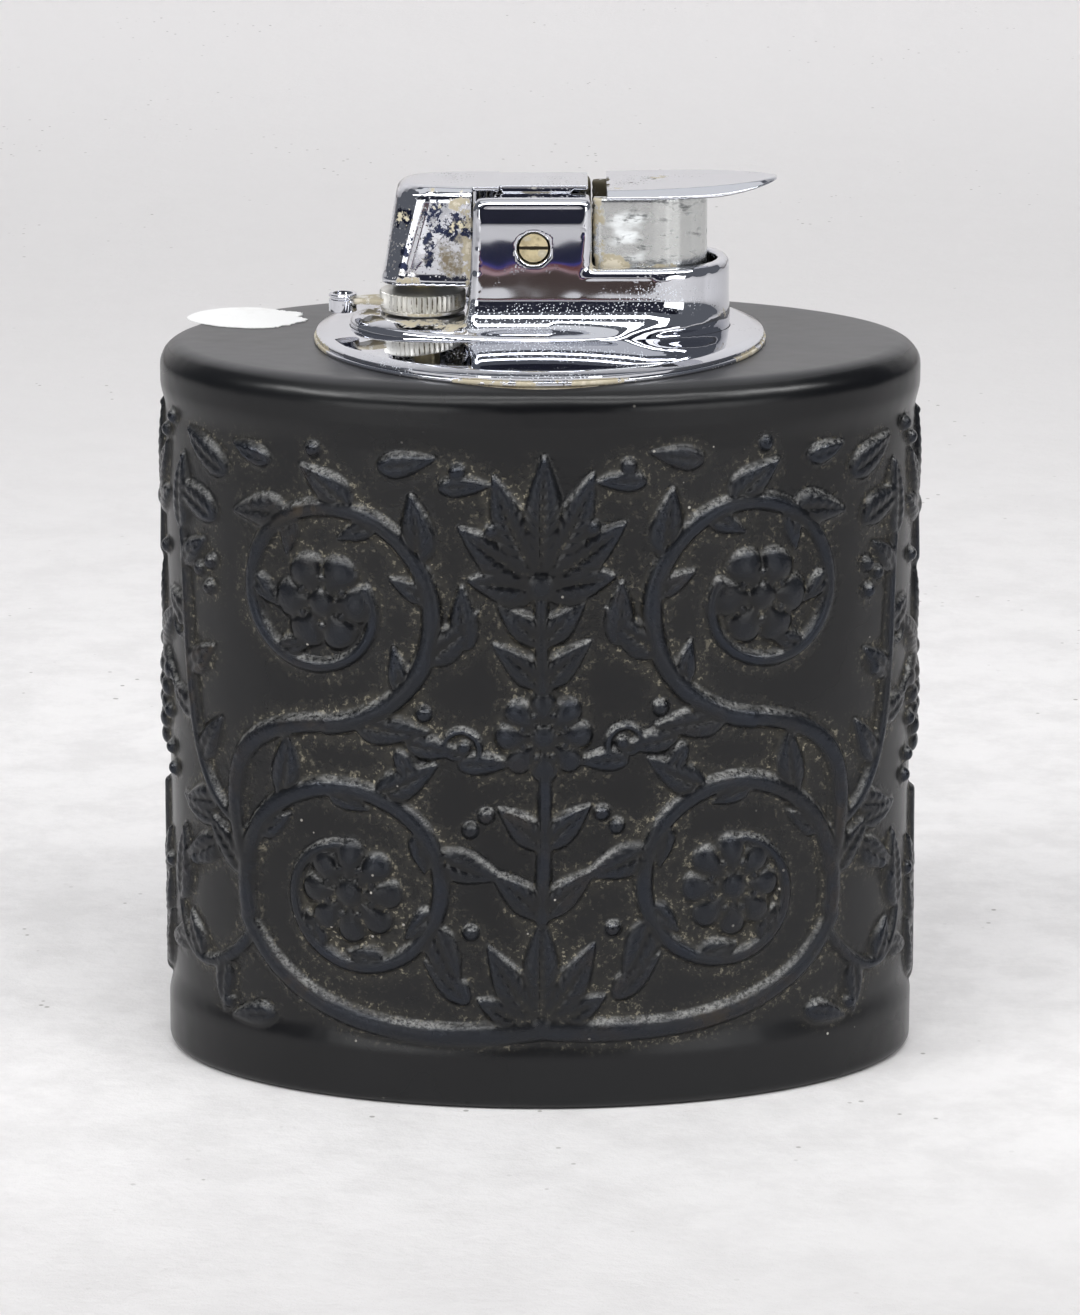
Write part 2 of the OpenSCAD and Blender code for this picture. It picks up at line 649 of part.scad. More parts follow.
// Outline of the casting above its foot, height h above the seat, drawn in by inset
function skirt_ring(h, inset) =
  let (t = min(1, max(0, (h - platform_h + 0.6) / flare_h)), f = flare * pow(1 - t, 2),
    y = cheek_y - cheek_draft * h / tower_h + f - inset)
  at_z(long_outline(tower_x0 + tower_lean * h / tower_h - f / 2, cup_x1 + f / 8 - inset, y,
    1.2 + f / 2, y - 0.12), seat_z + h);

// Outline of the tower, height h above the seat, drawn in by inset
function tower_ring(h, inset) =
  let (y = cheek_y - 0.03 - cheek_draft * h / tower_h - inset)
  at_z(long_outline(tower_x0 + 0.03 + tower_lean * h / tower_h + inset, tower_x1 - inset * 0.8, y, 1.2, 0.9),
    seat_z + h);

// Die-cast housing: oval foot, platform for the regulator, tower with two cheeks, and cup for the thumb block
module housing() {
  a = foot_w / 2;
  b = foot_d / 2;
  rim = 0.55;
  color("#c4c7cb") difference() {
    union() {
      loft([for (p = [[0, 0], [0.55, 0], [0.7, 0.3], [0.86, 1.1], [1, 2]])
        at_z(oval(a - p[1], b - p[1], 64), seat_z + platform_h * p[0])]);
      loft(concat(
        [for (h = [platform_h - 0.6 : flare_h / 5 : cup_h - 1.2]) skirt_ring(h, 0)],
        [for (t = [0 : 30 : 90]) skirt_ring(cup_h - rim * (1 - sin(t)), rim * (1 - cos(t)))]));
      loft(concat(
        [for (h = [cup_h - 1.3, (cup_h + tower_h) / 2]) tower_ring(h, 0)],
        [for (t = [0 : 22.5 : 90]) tower_ring(tower_h - tower_r * (1 - sin(t)), tower_r * (1 - cos(t)))]));
    }
    flat(-recess_y, recess_y) polygon([[tower_x0 - 4, platform_z], [recess_x, platform_z],
      [recess_x + recess_lean, tower_z], [recess_x + recess_lean, tower_z + cut], [tower_x0 - 4, tower_z + cut]]);
    translate([tower_x0 - 3, -slot_y, pocket_z])
      cube([pocket_x0 + cut - tower_x0 + 3, 2 * slot_y, tower_h]);
    translate([0, 0, pocket_z])
      linear_extrude(tower_h) polygon(long_outline(pocket_x0, pocket_x1, pocket_y, 0.8, pocket_y - 0.1));
    translate([burner_x, 0, seat_z - cut]) cylinder(r = hub_r + pin_gap, h = platform_h + 2 * cut);
    translate([spark_x, 0, seat_z - cut]) cylinder(r = flint_tube_r + seat_gap, h = pocket_floor_h + 2 * cut);
    translate([rod_x, 0, seat_z - cut]) cylinder(r = rod_r + pin_gap, h = pocket_floor_h + 2 * cut);
    housing_screw_places() translate([0, 0, seat_z - cut])
      cylinder(r = housing_screw_r + seat_gap, h = housing_screw_l + 8 * seat_gap + cut);
    bar(pivot_x, pivot_z, pivot_r + seat_gap, -cheek_y - cut, pin_back_y + 2 * cut);
    bar(pivot_x, pivot_z, screw_bore_r, -cheek_y - cut, -screw_face_y + screw_sink + screw_head_h);
    bar(lever_x, lever_z, lever_pin_r + seat_gap, pin_front_y - seat_gap, cheek_y + cut);
    bar(spark_x, spark_z, axle_r + seat_gap, pin_front_y - seat_gap, cheek_y + cut);
  }
}

// Two screws that hold the housing on the flange, from below
module housing_screws() {
  color("#9a9a94") housing_screw_places() {
    translate([0, 0, plate_z - housing_screw_head_h]) difference() {
      cylinder(r = housing_screw_head_r, h = housing_screw_head_h - rest_gap);
      translate([-housing_screw_head_r - cut, -housing_screw_slot / 2, -cut])
        cube([2 * (housing_screw_head_r + cut), housing_screw_slot, housing_screw_slot + cut]);
    }
    translate([0, 0, plate_z - bite])
      cylinder(r = housing_screw_r, h = bite + flange_plate_t + housing_screw_l);
  }
}

// Slotted brass screw on which the hood turns
module pivot_screw() {
  face_y = -screw_face_y + screw_sink;
  color("#b59a55") difference() {
    union() {
      bar(pivot_x, pivot_z, screw_head_d / 2, face_y, face_y + screw_head_h - seat_gap);
      bar(pivot_x, pivot_z, pivot_r, face_y + bite, pin_back_y);
    }
    translate([pivot_x - screw_head_d, face_y - cut, pivot_z - 0.18])
      cube([2 * screw_head_d, 0.45 + cut, 0.36]);
  }
}

// Pin on which the thumb lever turns
module lever_pin() {
  color("#8e9094") bar(lever_x, lever_z, lever_pin_r, pin_front_y, pin_back_y);
}

// Axle of the spark wheel
module spark_axle() {
  color("#8e9094") bar(spark_x, spark_z, axle_r, pin_front_y, pin_back_y);
}

// Outline of the hood at height z, drawn in by inset
function hood_ring(z, inset, x1) =
  let (k = (z - hood_z0) / (hood_z1 - hood_z0))
  at_z(hood_outline(hood_x0 + hood_lean * (z - hood_z0) + inset, x1, hood_y0 - inset, hood_y1 - inset,
    2.6 + 1.6 * k - inset * 0.6), z);

// Pressed hood over the burner, with its arm, two lugs and the drive studs
module hood() {
  inner_z1 = hood_z1 - hood_t;
  inner_r = hood_r - hood_t;
  color("#c9ccd0") union() {
    difference() {
      loft(concat([hood_ring(hood_z0, 0, hood_x1)],
        [for (t = [0 : 22.5 : 90])
          hood_ring(hood_z1 - hood_r * (1 - sin(t)), hood_r * (1 - cos(t)), hood_x1)]));
      loft(concat([hood_ring(hood_z0 - cut, hood_t, hood_x1 + cut)],
        [for (t = [0 : 30 : 90])
          hood_ring(inner_z1 - inner_r * (1 - sin(t)), hood_t + inner_r * (1 - cos(t)), hood_x1 + cut)]));
    }
    translate([hood_x1 - bite, -hood_y1 + hood_r, plate_under_z])
      cube([plate_x1 - hood_x1 + bite, 2 * (hood_y1 - hood_r), hood_t]);
    translate([plate_x1 - bite, -lug_y1, plate_under_z]) cube([arm_x1 - plate_x1 + bite, 2 * lug_y1, hood_t]);
    for (side = [0, 1]) mirror([0, side, 0]) difference() {
      union() {
        flat(lug_y0, lug_y1) polygon([[plate_x1 + 0.2, plate_under_z + hood_t / 2],
          [arm_x1 - 1.5, plate_under_z + hood_t / 2], [pivot_x + 1.85, pivot_z + 0.4],
          [pivot_x + 0.4, pivot_z - 1.8], [stud_x + 0.3, stud_z - 0.95], [stud_x - 0.95, stud_z - 0.2]]);
        bar(pivot_x, pivot_z, pivot_r + 0.95, lug_y0, lug_y1);
        bar(stud_x, stud_z, 1, lug_y0, lug_y1);
        bar(stud_x, stud_z, stud_d / 2, prong_y + 0.05, lug_y0 + bite);
      }
      bar(pivot_x, pivot_z, pivot_r + pin_gap, lug_y0 - cut, lug_y1 + cut);
    }
  }
}

// Torsion spring that closes the hood, wound on the pivot screw
module hood_spring() {
  wire = 0.35;
  half = lug_y0 - 0.4;
  color("#8d8f92") translate([pivot_x, 0, pivot_z]) rotate([90, 0, 0])
    coil(pivot_r + 0.35, wire, -half, half, 5);
}

// Cast thumb block with two prongs that reach back past the lever pin, and a notch for the hood's arm
module lever_block() {
  notch_y = slot_y + 0.1;
  color("#b9bbbb") difference() {
    union() {
      difference() {
        translate([0, 0, block_z0]) linear_extrude(block_h)
          polygon(long_outline(block_x0, block_x1, block_y, 0.6, block_y - 0.1));
        translate([block_x0 - cut, -notch_y, block_z0 + 4.6])
          cube([cap_x0 - block_x0 + cut, 2 * notch_y, block_h]);
        flat(-block_y - cut, block_y + cut) polygon([[block_x0 - cut, block_z0 - cut],
          [block_x0 + 0.85, block_z0 - cut], [block_x0 + 0.85, block_z0], [block_x0, block_z0 + 1.2],
          [block_x0 - cut, block_z0 + 1.2]]);
      }
      flat_pair(prong_y, prong_y + prong_t) polygon([[prong_x0, prong_top_z], [prong_x0, prong_top_z - prong_h],
        [lever_x - 1.4, lever_z - 1.3], [cap_x0 + bite, block_z0 + 0.1], [cap_x0 + bite, lever_z + 4.4],
        [lever_x + 1.5, lever_z + 4.2], [lever_x + 1, lever_z + 1.6], [lever_x - 1.6, prong_top_z]]);
      for (side = [0, 1]) mirror([0, side, 0])
        bar(lever_x, lever_z, prong_boss_r, prong_y, prong_y + prong_t);
    }
    bar(lever_x, lever_z, lever_pin_r + pin_gap, -slot_y, slot_y);
    translate([spring_x, 0, block_z0 - cut]) cylinder(r = spring_r + 0.6, h = spring_pocket_h + cut);
  }
}

// Half width of the thumb cap's lower edge at x
function cap_half(x) =
  let (x_full = cap_x0 + 2.6, u = max(0, (x - x_full) / (cap_x1 - x_full)))
  cap_y * sqrt(max(0, 1 - pow(u, 2.2)));

// Cross-section of the thumb cap at x
function cap_section(x) =
  let (u = max(0, (x - cap_x0) / (cap_x1 - cap_x0)), y1 = max(0.12, cap_half(x)),
    over = max(0, (x - block_x1) / (cap_x1 - block_x1)),
    y0 = max(0.06, y1 - 0.85 * min(1, y1 / 2.5)),
    z1 = block_z1 + cap_t + cap_rise * pow(u, 1.3),
    z0 = block_z1 + (cap_t + cap_rise - 0.3) * pow(over, 1.6))
  [[x, -y1, z0], [x, y1, z0], [x, y1, z0 + (z1 - z0) * 0.25], [x, y0, z1],
    [x, -y0, z1], [x, -y1, z0 + (z1 - z0) * 0.25]];

// Chromed leaf-shaped cap on the thumb block
module lever_cap() {
  span = cap_x1 - cap_x0;
  color("#d3d5d8") loft([for (i = [0 : 20])
    cap_section(cap_x0 - 0.05 + span * sin(90 * i / 20) - 0.02 * i / 20)]);
}

// Compression spring that lifts the thumb block
module lever_spring() {
  color("#8d8f92") translate([spring_x, 0, 0])
    coil(spring_r, spring_wire, pocket_z + seat_gap, block_z0 + spring_pocket_h - seat_gap, 5);
}

// Pawl between the prongs, which turns the ratchet as the thumb block goes down
module pawl() {
  nose_x = spark_x + ratchet_d / 2 + 0.2;
  root_x = lever_x - 3.6;
  mid_z = spark_z - 0.5;
  color("#77797c") union() {
    flat(ratchet_y0 + 0.05, ratchet_y1 - 0.05) polygon([[nose_x, mid_z - 0.3], [root_x, mid_z - 0.5],
      [root_x, mid_z + 0.5], [nose_x, mid_z + 0.3]]);
    bar(root_x, mid_z + 0.2, 0.5, -prong_y, prong_y);
  }
}

// File-cut spark wheel
module spark_wheel() {
  color("#55565a") difference() {
    translate([spark_x, 0, spark_z]) flat(spark_y0, ratchet_y0 - 0.02)
      polygon(teeth(spark_d / 2 - 0.28, spark_d / 2, spark_teeth));
    bar(spark_x, spark_z, axle_r + pin_gap, spark_y0 - cut, ratchet_y0 + cut);
  }
}

// Ratchet wheel fixed to the spark wheel
module ratchet_wheel() {
  color("#6a6b6e") difference() {
    translate([spark_x, 0, spark_z]) flat(ratchet_y0, ratchet_y1)
      polygon(saw(ratchet_d / 2 - 0.45, ratchet_d / 2, 12));
    bar(spark_x, spark_z, axle_r + pin_gap, ratchet_y0 - cut, ratchet_y1 + cut);
  }
}

// Flint, pressed up against the spark wheel
module flint() {
  color("#4a4843") translate([spark_x, 0, flint_z1 - flint_l]) cylinder(d = flint_d, h = flint_l);
}

// Tube that guides the flint, from the housing's slot to the tank's floor
module flint_tube() {
  color("#b59a55") translate([spark_x, 0, 0])
    tube(flint_tube_r, flint_bore_r, tank_z0, flint_tube_z1 - tank_z0);
}

// Spring behind the flint
module flint_spring() {
  color("#8d8f92") translate([spark_x, 0, 0])
    coil(flint_bore_r - 0.35, 0.4, tank_z0 + flint_screw_l + seat_gap, flint_z1 - flint_l - seat_gap, 12);
}

// Screw that closes the flint tube under the tank
module flint_screw() {
  head_h = 1.5;
  color("#b59a55") translate([spark_x, 0, 0]) difference() {
    union() {
      translate([0, 0, tank_z0 - head_h]) cylinder(d = flint_screw_d, h = head_h - 0.02);
      translate([0, 0, tank_z0 - bite]) cylinder(r = flint_bore_r - seat_gap, h = flint_screw_l + bite);
    }
    translate([-flint_screw_d, -0.4, tank_z0 - head_h - cut]) cube([2 * flint_screw_d, 0.8, 0.7 + cut]);
  }
}

// Outline of the regulator's arm, from the wheel to the knob
module regulator_arm_outline() {
  polygon([[-wheel_d / 2 + 1.2, -1.9], [-knob_reach, -0.7], [-knob_reach, 0.7], [-wheel_d / 2 + 1.2, 1.9]]);
}

// Turns and moves the regulator's pieces to their place
module at_regulator() {
  translate([burner_x, 0, 0]) rotate([0, 0, arm_angle]) children();
}

// Knurled wheel that sets the flame, with its threaded hub
module regulator_wheel() {
  knurl_h = wheel_h - wheel_bevel_h;
  color("#b3b2aa") at_regulator() difference() {
    union() {
      translate([0, 0, wheel_z0 + wheel_lip_h]) linear_extrude(knurl_h - wheel_lip_h)
        polygon(teeth(wheel_d / 2 - 0.3, wheel_d / 2, wheel_teeth));
      translate([0, 0, wheel_z0]) cylinder(r = wheel_d / 2 - 0.12, h = wheel_lip_h + 0.1);
      translate([0, 0, wheel_z0 + knurl_h - 0.1]) cylinder(r = wheel_d / 2 - 0.3, h = 0.1);
      translate([0, 0, wheel_z0 + knurl_h])
        cylinder(r1 = wheel_d / 2 - 0.3, r2 = wheel_d / 2 - wheel_bevel_w, h = wheel_bevel_h);
      translate([0, 0, hub_z0]) cylinder(r = hub_r, h = wheel_z0 + bite - hub_z0);
    }
    translate([0, 0, hub_z0 - cut]) cylinder(r = hub_bore_r, h = wheel_z1 - hub_z0 + 2 * cut);
    translate([0, 0, arm_z0]) linear_extrude(arm_t) regulator_arm_outline();
  }
}

// Flat arm that is let into the regulator wheel
module regulator_arm() {
  color("#b3b2aa") at_regulator() difference() {
    translate([0, 0, arm_z0]) linear_extrude(arm_t) regulator_arm_outline();
    translate([-knob_reach, 0, arm_z0 - cut]) cylinder(d = knob_d - 0.8, h = arm_t + 2 * cut);
  }
}

// Small round knob at the end of the regulator's arm
module regulator_knob() {
  groove = 0.2;
  color("#c9ccd0") at_regulator() translate([-knob_reach, 0, 0]) difference() {
    rotate_extrude() polygon([[0, knob_z0], [knob_d / 2, knob_z0], [knob_d / 2, knob_z0 + knob_h * 0.68],
      [knob_d / 2 - groove, knob_z0 + knob_h * 0.72], [knob_d / 2 - groove, knob_z0 + knob_h * 0.8],
      [knob_d / 2, knob_z0 + knob_h * 0.84], [knob_d / 2, knob_z0 + knob_h * 0.94],
      [knob_d / 2 - 0.15, knob_z0 + knob_h], [0, knob_z0 + knob_h]]);
    rotate_extrude() translate([knob_d / 2 - 0.4, arm_z0]) square([knob_d, arm_t]);
    translate([0, 0, knob_z0 + knob_h - 0.25]) cylinder(r = knob_d / 2 - 0.5, h = cut);
  }
}

// Burner tube with the collar by which the rocker lifts it
module burner_tube() {
  color("#b59a55") translate([burner_x, 0, 0]) difference() {
    union() {
      translate([0, 0, burner_z0]) cylinder(r = burner_r, h = burner_z1 - jet_h - burner_z0);
      translate([0, 0, collar_z]) cylinder(d = collar_d, h = collar_t);
    }
    translate([0, 0, burner_z0 - cut]) cylinder(r = burner_bore_r, h = burner_z1 - burner_z0 + 2 * cut);
  }
}

// Perforated brass jet on the burner tube
module burner_jet() {
  color("#c2a45c") translate([burner_x, 0, 0]) difference() {
    union() {
      translate([0, 0, burner_z1 - jet_h]) cylinder(r = burner_r, h = jet_h);
      translate([0, 0, burner_z1 - jet_h - jet_plug_h])
        cylinder(r = burner_bore_r - seat_gap, h = jet_plug_h + bite);
    }
    translate([0, 0, burner_z1 - jet_h - jet_plug_h - cut])
      cylinder(r = jet_bore_r, h = jet_h + jet_plug_h + 2 * cut);
  }
}

// Spring that closes the burner valve, between the flange's plate and the collar
module burner_spring() {
  bottom = collar_z + collar_t + 2 * rest_gap;
  color("#8d8f92") translate([burner_x, 0, 0])
    coil(hub_r + 2 * burner_wire - seat_gap, burner_wire, bottom, plate_z - 2 * rest_gap, 2);
}

// Rod by which the thumb block presses the valve rocker
module push_rod() {
  bottom = rocker_z + rocker_bar_h / 2 + 0.2;
  top = block_z0 - 0.15;
  color("#8e9094") translate([rod_x, 0, 0]) union() {
    translate([0, 0, bottom + rod_r]) cylinder(r = rod_r, h = top - bottom - 2 * rod_r);
    translate([0, 0, bottom + rod_r]) sphere(r = rod_r - 0.005);
    translate([0, 0, top - rod_r]) sphere(r = rod_r - 0.005);
  }
}

// Rocker under the flange: its right end goes down with the push rod, its fork lifts the burner's collar
module valve_rocker() {
  half = rocker_bar_h / 2;
  nose_top = collar_z - 0.1;
  fork_x = burner_x - 2.4;
  pad_x0 = rod_x - 1.5;
  color("#9c9d9a") difference() {
    union() {
      flat_pair(rocker_y0, rocker_y0 + rocker_bar_t) polygon([[fork_x, rocker_z - half],
        [pad_x0 + 0.5, rocker_z - half], [pad_x0 + 0.5, rocker_z + half], [rocker_x - 1.6, rocker_z + half],
        [rocker_x - 2.6, rocker_z + half - 0.4], [fork_x, rocker_z + half - 0.4]]);
      for (side = [0, 1]) mirror([0, side, 0]) {
        bar(burner_x, nose_top - rocker_nose_r, rocker_nose_r, rocker_y0, rocker_y0 + rocker_bar_t);
        bar(rocker_x, rocker_z, rocker_pin_d / 2 + 0.6, rocker_y0, rocker_y0 + rocker_bar_t);
      }
      translate([pad_x0, -2.2, rocker_z - half]) cube([2.4, 4.4, 2 * half]);
      translate([pad_x0, -rocker_y0 - rocker_bar_t, rocker_z - half])
        cube([0.7, 2 * (rocker_y0 + rocker_bar_t), 2 * half]);
      translate([1, -rocker_y0 - 0.2, rocker_z - half]) cube([1.6, 2 * rocker_y0 + 0.4, 2 * half]);
    }
    bar(rocker_x, rocker_z, rocker_pin_d / 2 + pin_gap, -bracket_y, bracket_y);
  }
}

// Pin of the valve rocker
module rocker_pin() {
  reach = bracket_y + bracket_t;
  color("#8e9094") bar(rocker_x, rocker_z, rocker_pin_d / 2, -reach, reach);
}

// Bracket that carries the rocker's pin, on the tank's lid
module rocker_bracket() {
  x0 = rocker_x - bracket_reach;
  x1 = rocker_x + bracket_reach - 2 * seat_gap;
  foot_z = lid_z + rest_gap;
  ear_z = rocker_z + bracket_reach;
  color("#9c9d9a") difference() {
    union() {
      flat_pair(bracket_y, bracket_y + bracket_t)
        polygon([[x0, foot_z], [x1, foot_z], [x1, ear_z], [x0, ear_z]]);
      translate([x0, -bracket_y - bite, foot_z]) cube([x1 - x0, 2 * (bracket_y + bite), bracket_foot_t]);
    }
    bar(rocker_x, rocker_z, rocker_pin_d / 2 + rest_gap, -bracket_y - bracket_t - cut,
      bracket_y + bracket_t + cut);
  }
}

// Brass valve body, screwed into the tank's lid
module valve_body() {
  top = lid_z + 3.3;
  groove_z = lid_z + 1;
  color("#b59a55") translate([burner_x, 0, 0]) difference() {
    union() {
      translate([0, 0, lid_z - valve_l]) cylinder(r = valve_r - 0.6, h = top - lid_z + valve_l);
      translate([0, 0, lid_z + 0.01]) cylinder(r = valve_r, h = top - lid_z - 0.01);
    }
    translate([0, 0, lid_z - 6.5]) cylinder(r = burner_r + 0.1, h = 20);
    translate([0, 0, lid_z - valve_l - cut]) cylinder(r = 0.5, h = valve_l);
    translate([0, 0, groove_z]) cylinder(r = burner_r + 0.95, h = 0.95);
  }
}

// Seal ring round the burner tube, in the valve body's groove
module valve_seal() {
  section_r = 0.38;
  color("#242220") translate([burner_x, 0, lid_z + 1 + 0.475]) rotate_extrude()
    translate([burner_r + 0.1 + section_r, 0]) circle(r = section_r, $fn = 24);
}

// Drawn steel tank, with a skirt that fits inside the flange's neck
module tank() {
  color("#a8a9a6") difference() {
    rotate_extrude() polygon([[0, tank_z0], [tank_r - 1, tank_z0], [tank_r, tank_z0 + 1], [tank_r, skirt_z],
      [tank_inner_r, skirt_z], [tank_inner_r, tank_z0 + tank_floor], [0, tank_z0 + tank_floor]]);
    translate([spark_x, 0, tank_z0 - cut]) cylinder(r = flint_bore_r, h = tank_floor + 2 * cut);
    translate([spark_x, 0, tank_z0 - cut]) cylinder(r = flint_tube_r + seat_gap, h = tank_floor + 2 * cut);
    translate([filler_x, 0, tank_z0 - cut]) cylinder(r = filler_r + seat_gap, h = tank_floor + 2 * cut);
  }
}

// Lid soldered into the tank, under the rocker
module tank_lid() {
  color("#a8a9a6") difference() {
    translate([0, 0, lid_z - lid_t]) cylinder(r = tank_inner_r - seat_gap, h = lid_t);
    translate([spark_x, 0, lid_z - lid_t - cut]) cylinder(r = flint_tube_r + seat_gap, h = lid_t + 2 * cut);
    translate([burner_x, 0, lid_z - lid_t - cut]) cylinder(r = valve_r - 0.6 + seat_gap, h = lid_t + 2 * cut);
  }
}

// Brass filler valve in the tank's floor
module filler_valve() {
  color("#b59a55") translate([filler_x, 0, 0]) rotate_extrude() polygon([
    [filler_stem_r + pin_gap, filler_z0], [filler_head_r, filler_z0], [filler_head_r, tank_z0 - 0.02],
    [filler_r, tank_z0 - 0.02], [filler_r, filler_cap_z + filler_cap_t],
    [filler_stem_r + pin_gap, filler_cap_z + filler_cap_t], [filler_stem_r + pin_gap, filler_cap_z],
    [filler_chamber_r, filler_cap_z], [filler_chamber_r, filler_seat_z],
    [filler_stem_r + pin_gap, filler_seat_z]]);
}

// Stem that a filling nozzle pushes up
module filler_stem() {
  top = filler_shoulder_z + filler_shoulder_t + 1.2;
  color("#9a9a94") translate([filler_x, 0, 0]) union() {
    translate([0, 0, filler_z0 + 0.4]) cylinder(r = filler_stem_r, h = top - filler_z0 - 0.4);
    translate([0, 0, filler_shoulder_z]) cylinder(r = filler_chamber_r - 0.2, h = filler_shoulder_t);
  }
}

// Spring that closes the filler valve
module filler_spring() {
  color("#8d8f92") translate([filler_x, 0, 0])
    coil(filler_chamber_r - 0.5, 0.35, filler_shoulder_z + filler_shoulder_t + 0.02, filler_cap_z - 0.02, 3);
}

// Seal washer under the stem's shoulder
module filler_seal() {
  color("#242220") translate([filler_x, 0, 0])
    tube(filler_chamber_r - 0.1, filler_stem_r + 0.15, filler_seat_z + 0.02, filler_seal_h);
}

body_shell();
seat_ring();
flange();
grip_ring();
housing();
housing_screws();
pivot_screw();
lever_pin();
spark_axle();
hood();
hood_spring();
lever_block();
lever_cap();
lever_spring();
pawl();
spark_wheel();
ratchet_wheel();
flint();
flint_tube();
flint_spring();
flint_screw();
regulator_wheel();
regulator_arm();
regulator_knob();
burner_tube();
burner_jet();
burner_spring();
push_rod();
valve_rocker();
rocker_pin();
rocker_bracket();
valve_body();
valve_seal();
tank();
tank_lid();
filler_valve();
filler_stem();
filler_spring();
filler_seal();
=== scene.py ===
import math

import bpy
import numpy as np
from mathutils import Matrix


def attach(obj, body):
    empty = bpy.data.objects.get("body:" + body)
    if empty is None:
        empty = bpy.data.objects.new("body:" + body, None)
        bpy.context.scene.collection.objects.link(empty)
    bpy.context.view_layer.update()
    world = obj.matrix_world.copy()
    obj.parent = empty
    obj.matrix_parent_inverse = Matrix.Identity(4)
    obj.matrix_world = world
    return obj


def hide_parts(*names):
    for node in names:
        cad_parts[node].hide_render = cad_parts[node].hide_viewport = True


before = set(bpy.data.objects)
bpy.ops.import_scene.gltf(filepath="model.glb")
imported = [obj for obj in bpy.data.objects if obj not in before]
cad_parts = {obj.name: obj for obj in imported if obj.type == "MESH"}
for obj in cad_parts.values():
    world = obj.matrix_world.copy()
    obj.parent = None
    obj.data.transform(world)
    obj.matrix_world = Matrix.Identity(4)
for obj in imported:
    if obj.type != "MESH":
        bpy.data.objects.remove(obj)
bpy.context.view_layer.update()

# Camera
# A long lens 0.65 m in front of the lighter and 0.22 m up, pitched down 15 degrees.
PITCH = 15.127
bpy.ops.object.camera_add(location=(0, -0.65272, 0.22147), rotation=(math.radians(90 - PITCH), 0, 0))
camera = bpy.context.object
camera.data.sensor_width = 36
camera.data.lens = 163.43
bpy.context.scene.camera = camera


# Studio
# A sweep of pale grey paper, soft lamps as in a light tent, and outside the picture a dark card and a banded
# strip for the chrome to mirror. Its sizes are in metres. The lighter's are in millimetres, times MM.
MM = 0.001


class Finish:
    """A material laid down coat by coat on Object coordinates."""

    def __init__(self, name, colour, roughness, metallic=0.0):
        self.material = bpy.data.materials.new(name)
        self.material.use_nodes = True
        self.nodes = self.material.node_tree.nodes
        self.links = self.material.node_tree.links
        self.shader = self.nodes["Principled BSDF"]
        self.place = self.nodes.new("ShaderNodeTexCoord").outputs["Object"]
        self.ends = {}
        self.start("Base Color", (*colour, 1))
        self.start("Roughness", roughness)
        self.start("Metallic", metallic)

    def start(self, socket, value):
        self.shader.inputs[socket].default_value = value
        self.ends[socket] = None

    def node(self, kind, inputs=(), **settings):
        node = self.nodes.new(kind)
        for key, value in settings.items():
            setattr(node, key, value)
        for key, value in dict(inputs).items():
            if isinstance(value, bpy.types.NodeSocket):
                self.links.new(value, node.inputs[key])
            else:
                node.inputs[key].default_value = value
        return node

    def stretched(self, x, y, z):
        return self.node("ShaderNodeMapping", {"Vector": self.place, "Scale": (x, y, z)}).outputs[0]

    def noise(self, size, detail=3.0, rough=0.55, place=None):
        """Noise from 0 to 1 with patches about size millimetres across."""
        inputs = {"Vector": place or self.place, "Scale": 500 / size, "Detail": detail, "Roughness": rough}
        return self.node("ShaderNodeTexNoise", inputs).outputs[0]

    def cells(self, size):
        """Distance to the nearest of scattered points, size millimetres apart: 0 at a point."""
        inputs = {"Vector": self.place, "Scale": 1000 / size}
        return self.node("ShaderNodeTexVoronoi", inputs).outputs["Distance"]

    def attribute(self, name):
        return self.node("ShaderNodeAttribute", attribute_name=name).outputs["Fac"]

    def ragged(self, name, size):
        """A painted amount broken up by noise: patches with torn edges, none where nothing is painted."""
        return self.times(self.attribute(name), self.ramp(self.noise(size, 7, 0.74), 0.36, 0.62, 0.05, 2))

    def ramp(self, value, low, high, to_low=0.0, to_high=1.0):
        inputs = {"Value": value, "From Min": low, "From Max": high, "To Min": to_low, "To Max": to_high}
        return self.node("ShaderNodeMapRange", inputs, interpolation_type="SMOOTHSTEP").outputs[0]

    def times(self, a, b):
        return self.node("ShaderNodeMath", {0: a, 1: b}, operation="MULTIPLY", use_clamp=True).outputs[0]

    def plus(self, a, b):
        return self.node("ShaderNodeMath", {0: a, 1: b}, operation="ADD").outputs[0]

    def along(self, axis):
        return self.node("ShaderNodeSeparateXYZ", {0: self.place}).outputs["XYZ".index(axis)]

    def coat(self, where, colour=None, roughness=None, metallic=None):
        """Lays a coat over what is there, as thick as where says from 0 to 1."""
        for socket, value in (("Base Color", colour), ("Roughness", roughness), ("Metallic", metallic)):
            if value is None:
                continue
            kind = "RGBA" if socket == "Base Color" else "FLOAT"
            mix = self.node("ShaderNodeMix", data_type=kind)
            a, b, out = (6, 7, 2) if kind == "RGBA" else (2, 3, 0)
            self.links.new(where, mix.inputs[0])
            below = self.ends[socket]
            if below is None:
                mix.inputs[a].default_value = self.shader.inputs[socket].default_value
            else:
                self.links.new(below, mix.inputs[a])
            mix.inputs[b].default_value = (*value, 1) if kind == "RGBA" else value
            self.ends[socket] = mix.outputs[out]
            self.links.new(mix.outputs[out], self.shader.inputs[socket])

    def bump(self, height, depth, strength=1.0):
        """Fine relief, depth millimetres deep."""
        inputs = {"Height": height, "Distance": depth * MM, "Strength": strength}
        if self.shader.inputs["Normal"].is_linked:
            inputs["Normal"] = self.shader.inputs["Normal"].links[0].from_socket
        self.links.new(self.node("ShaderNodeBump", inputs).outputs[0], self.shader.inputs["Normal"])


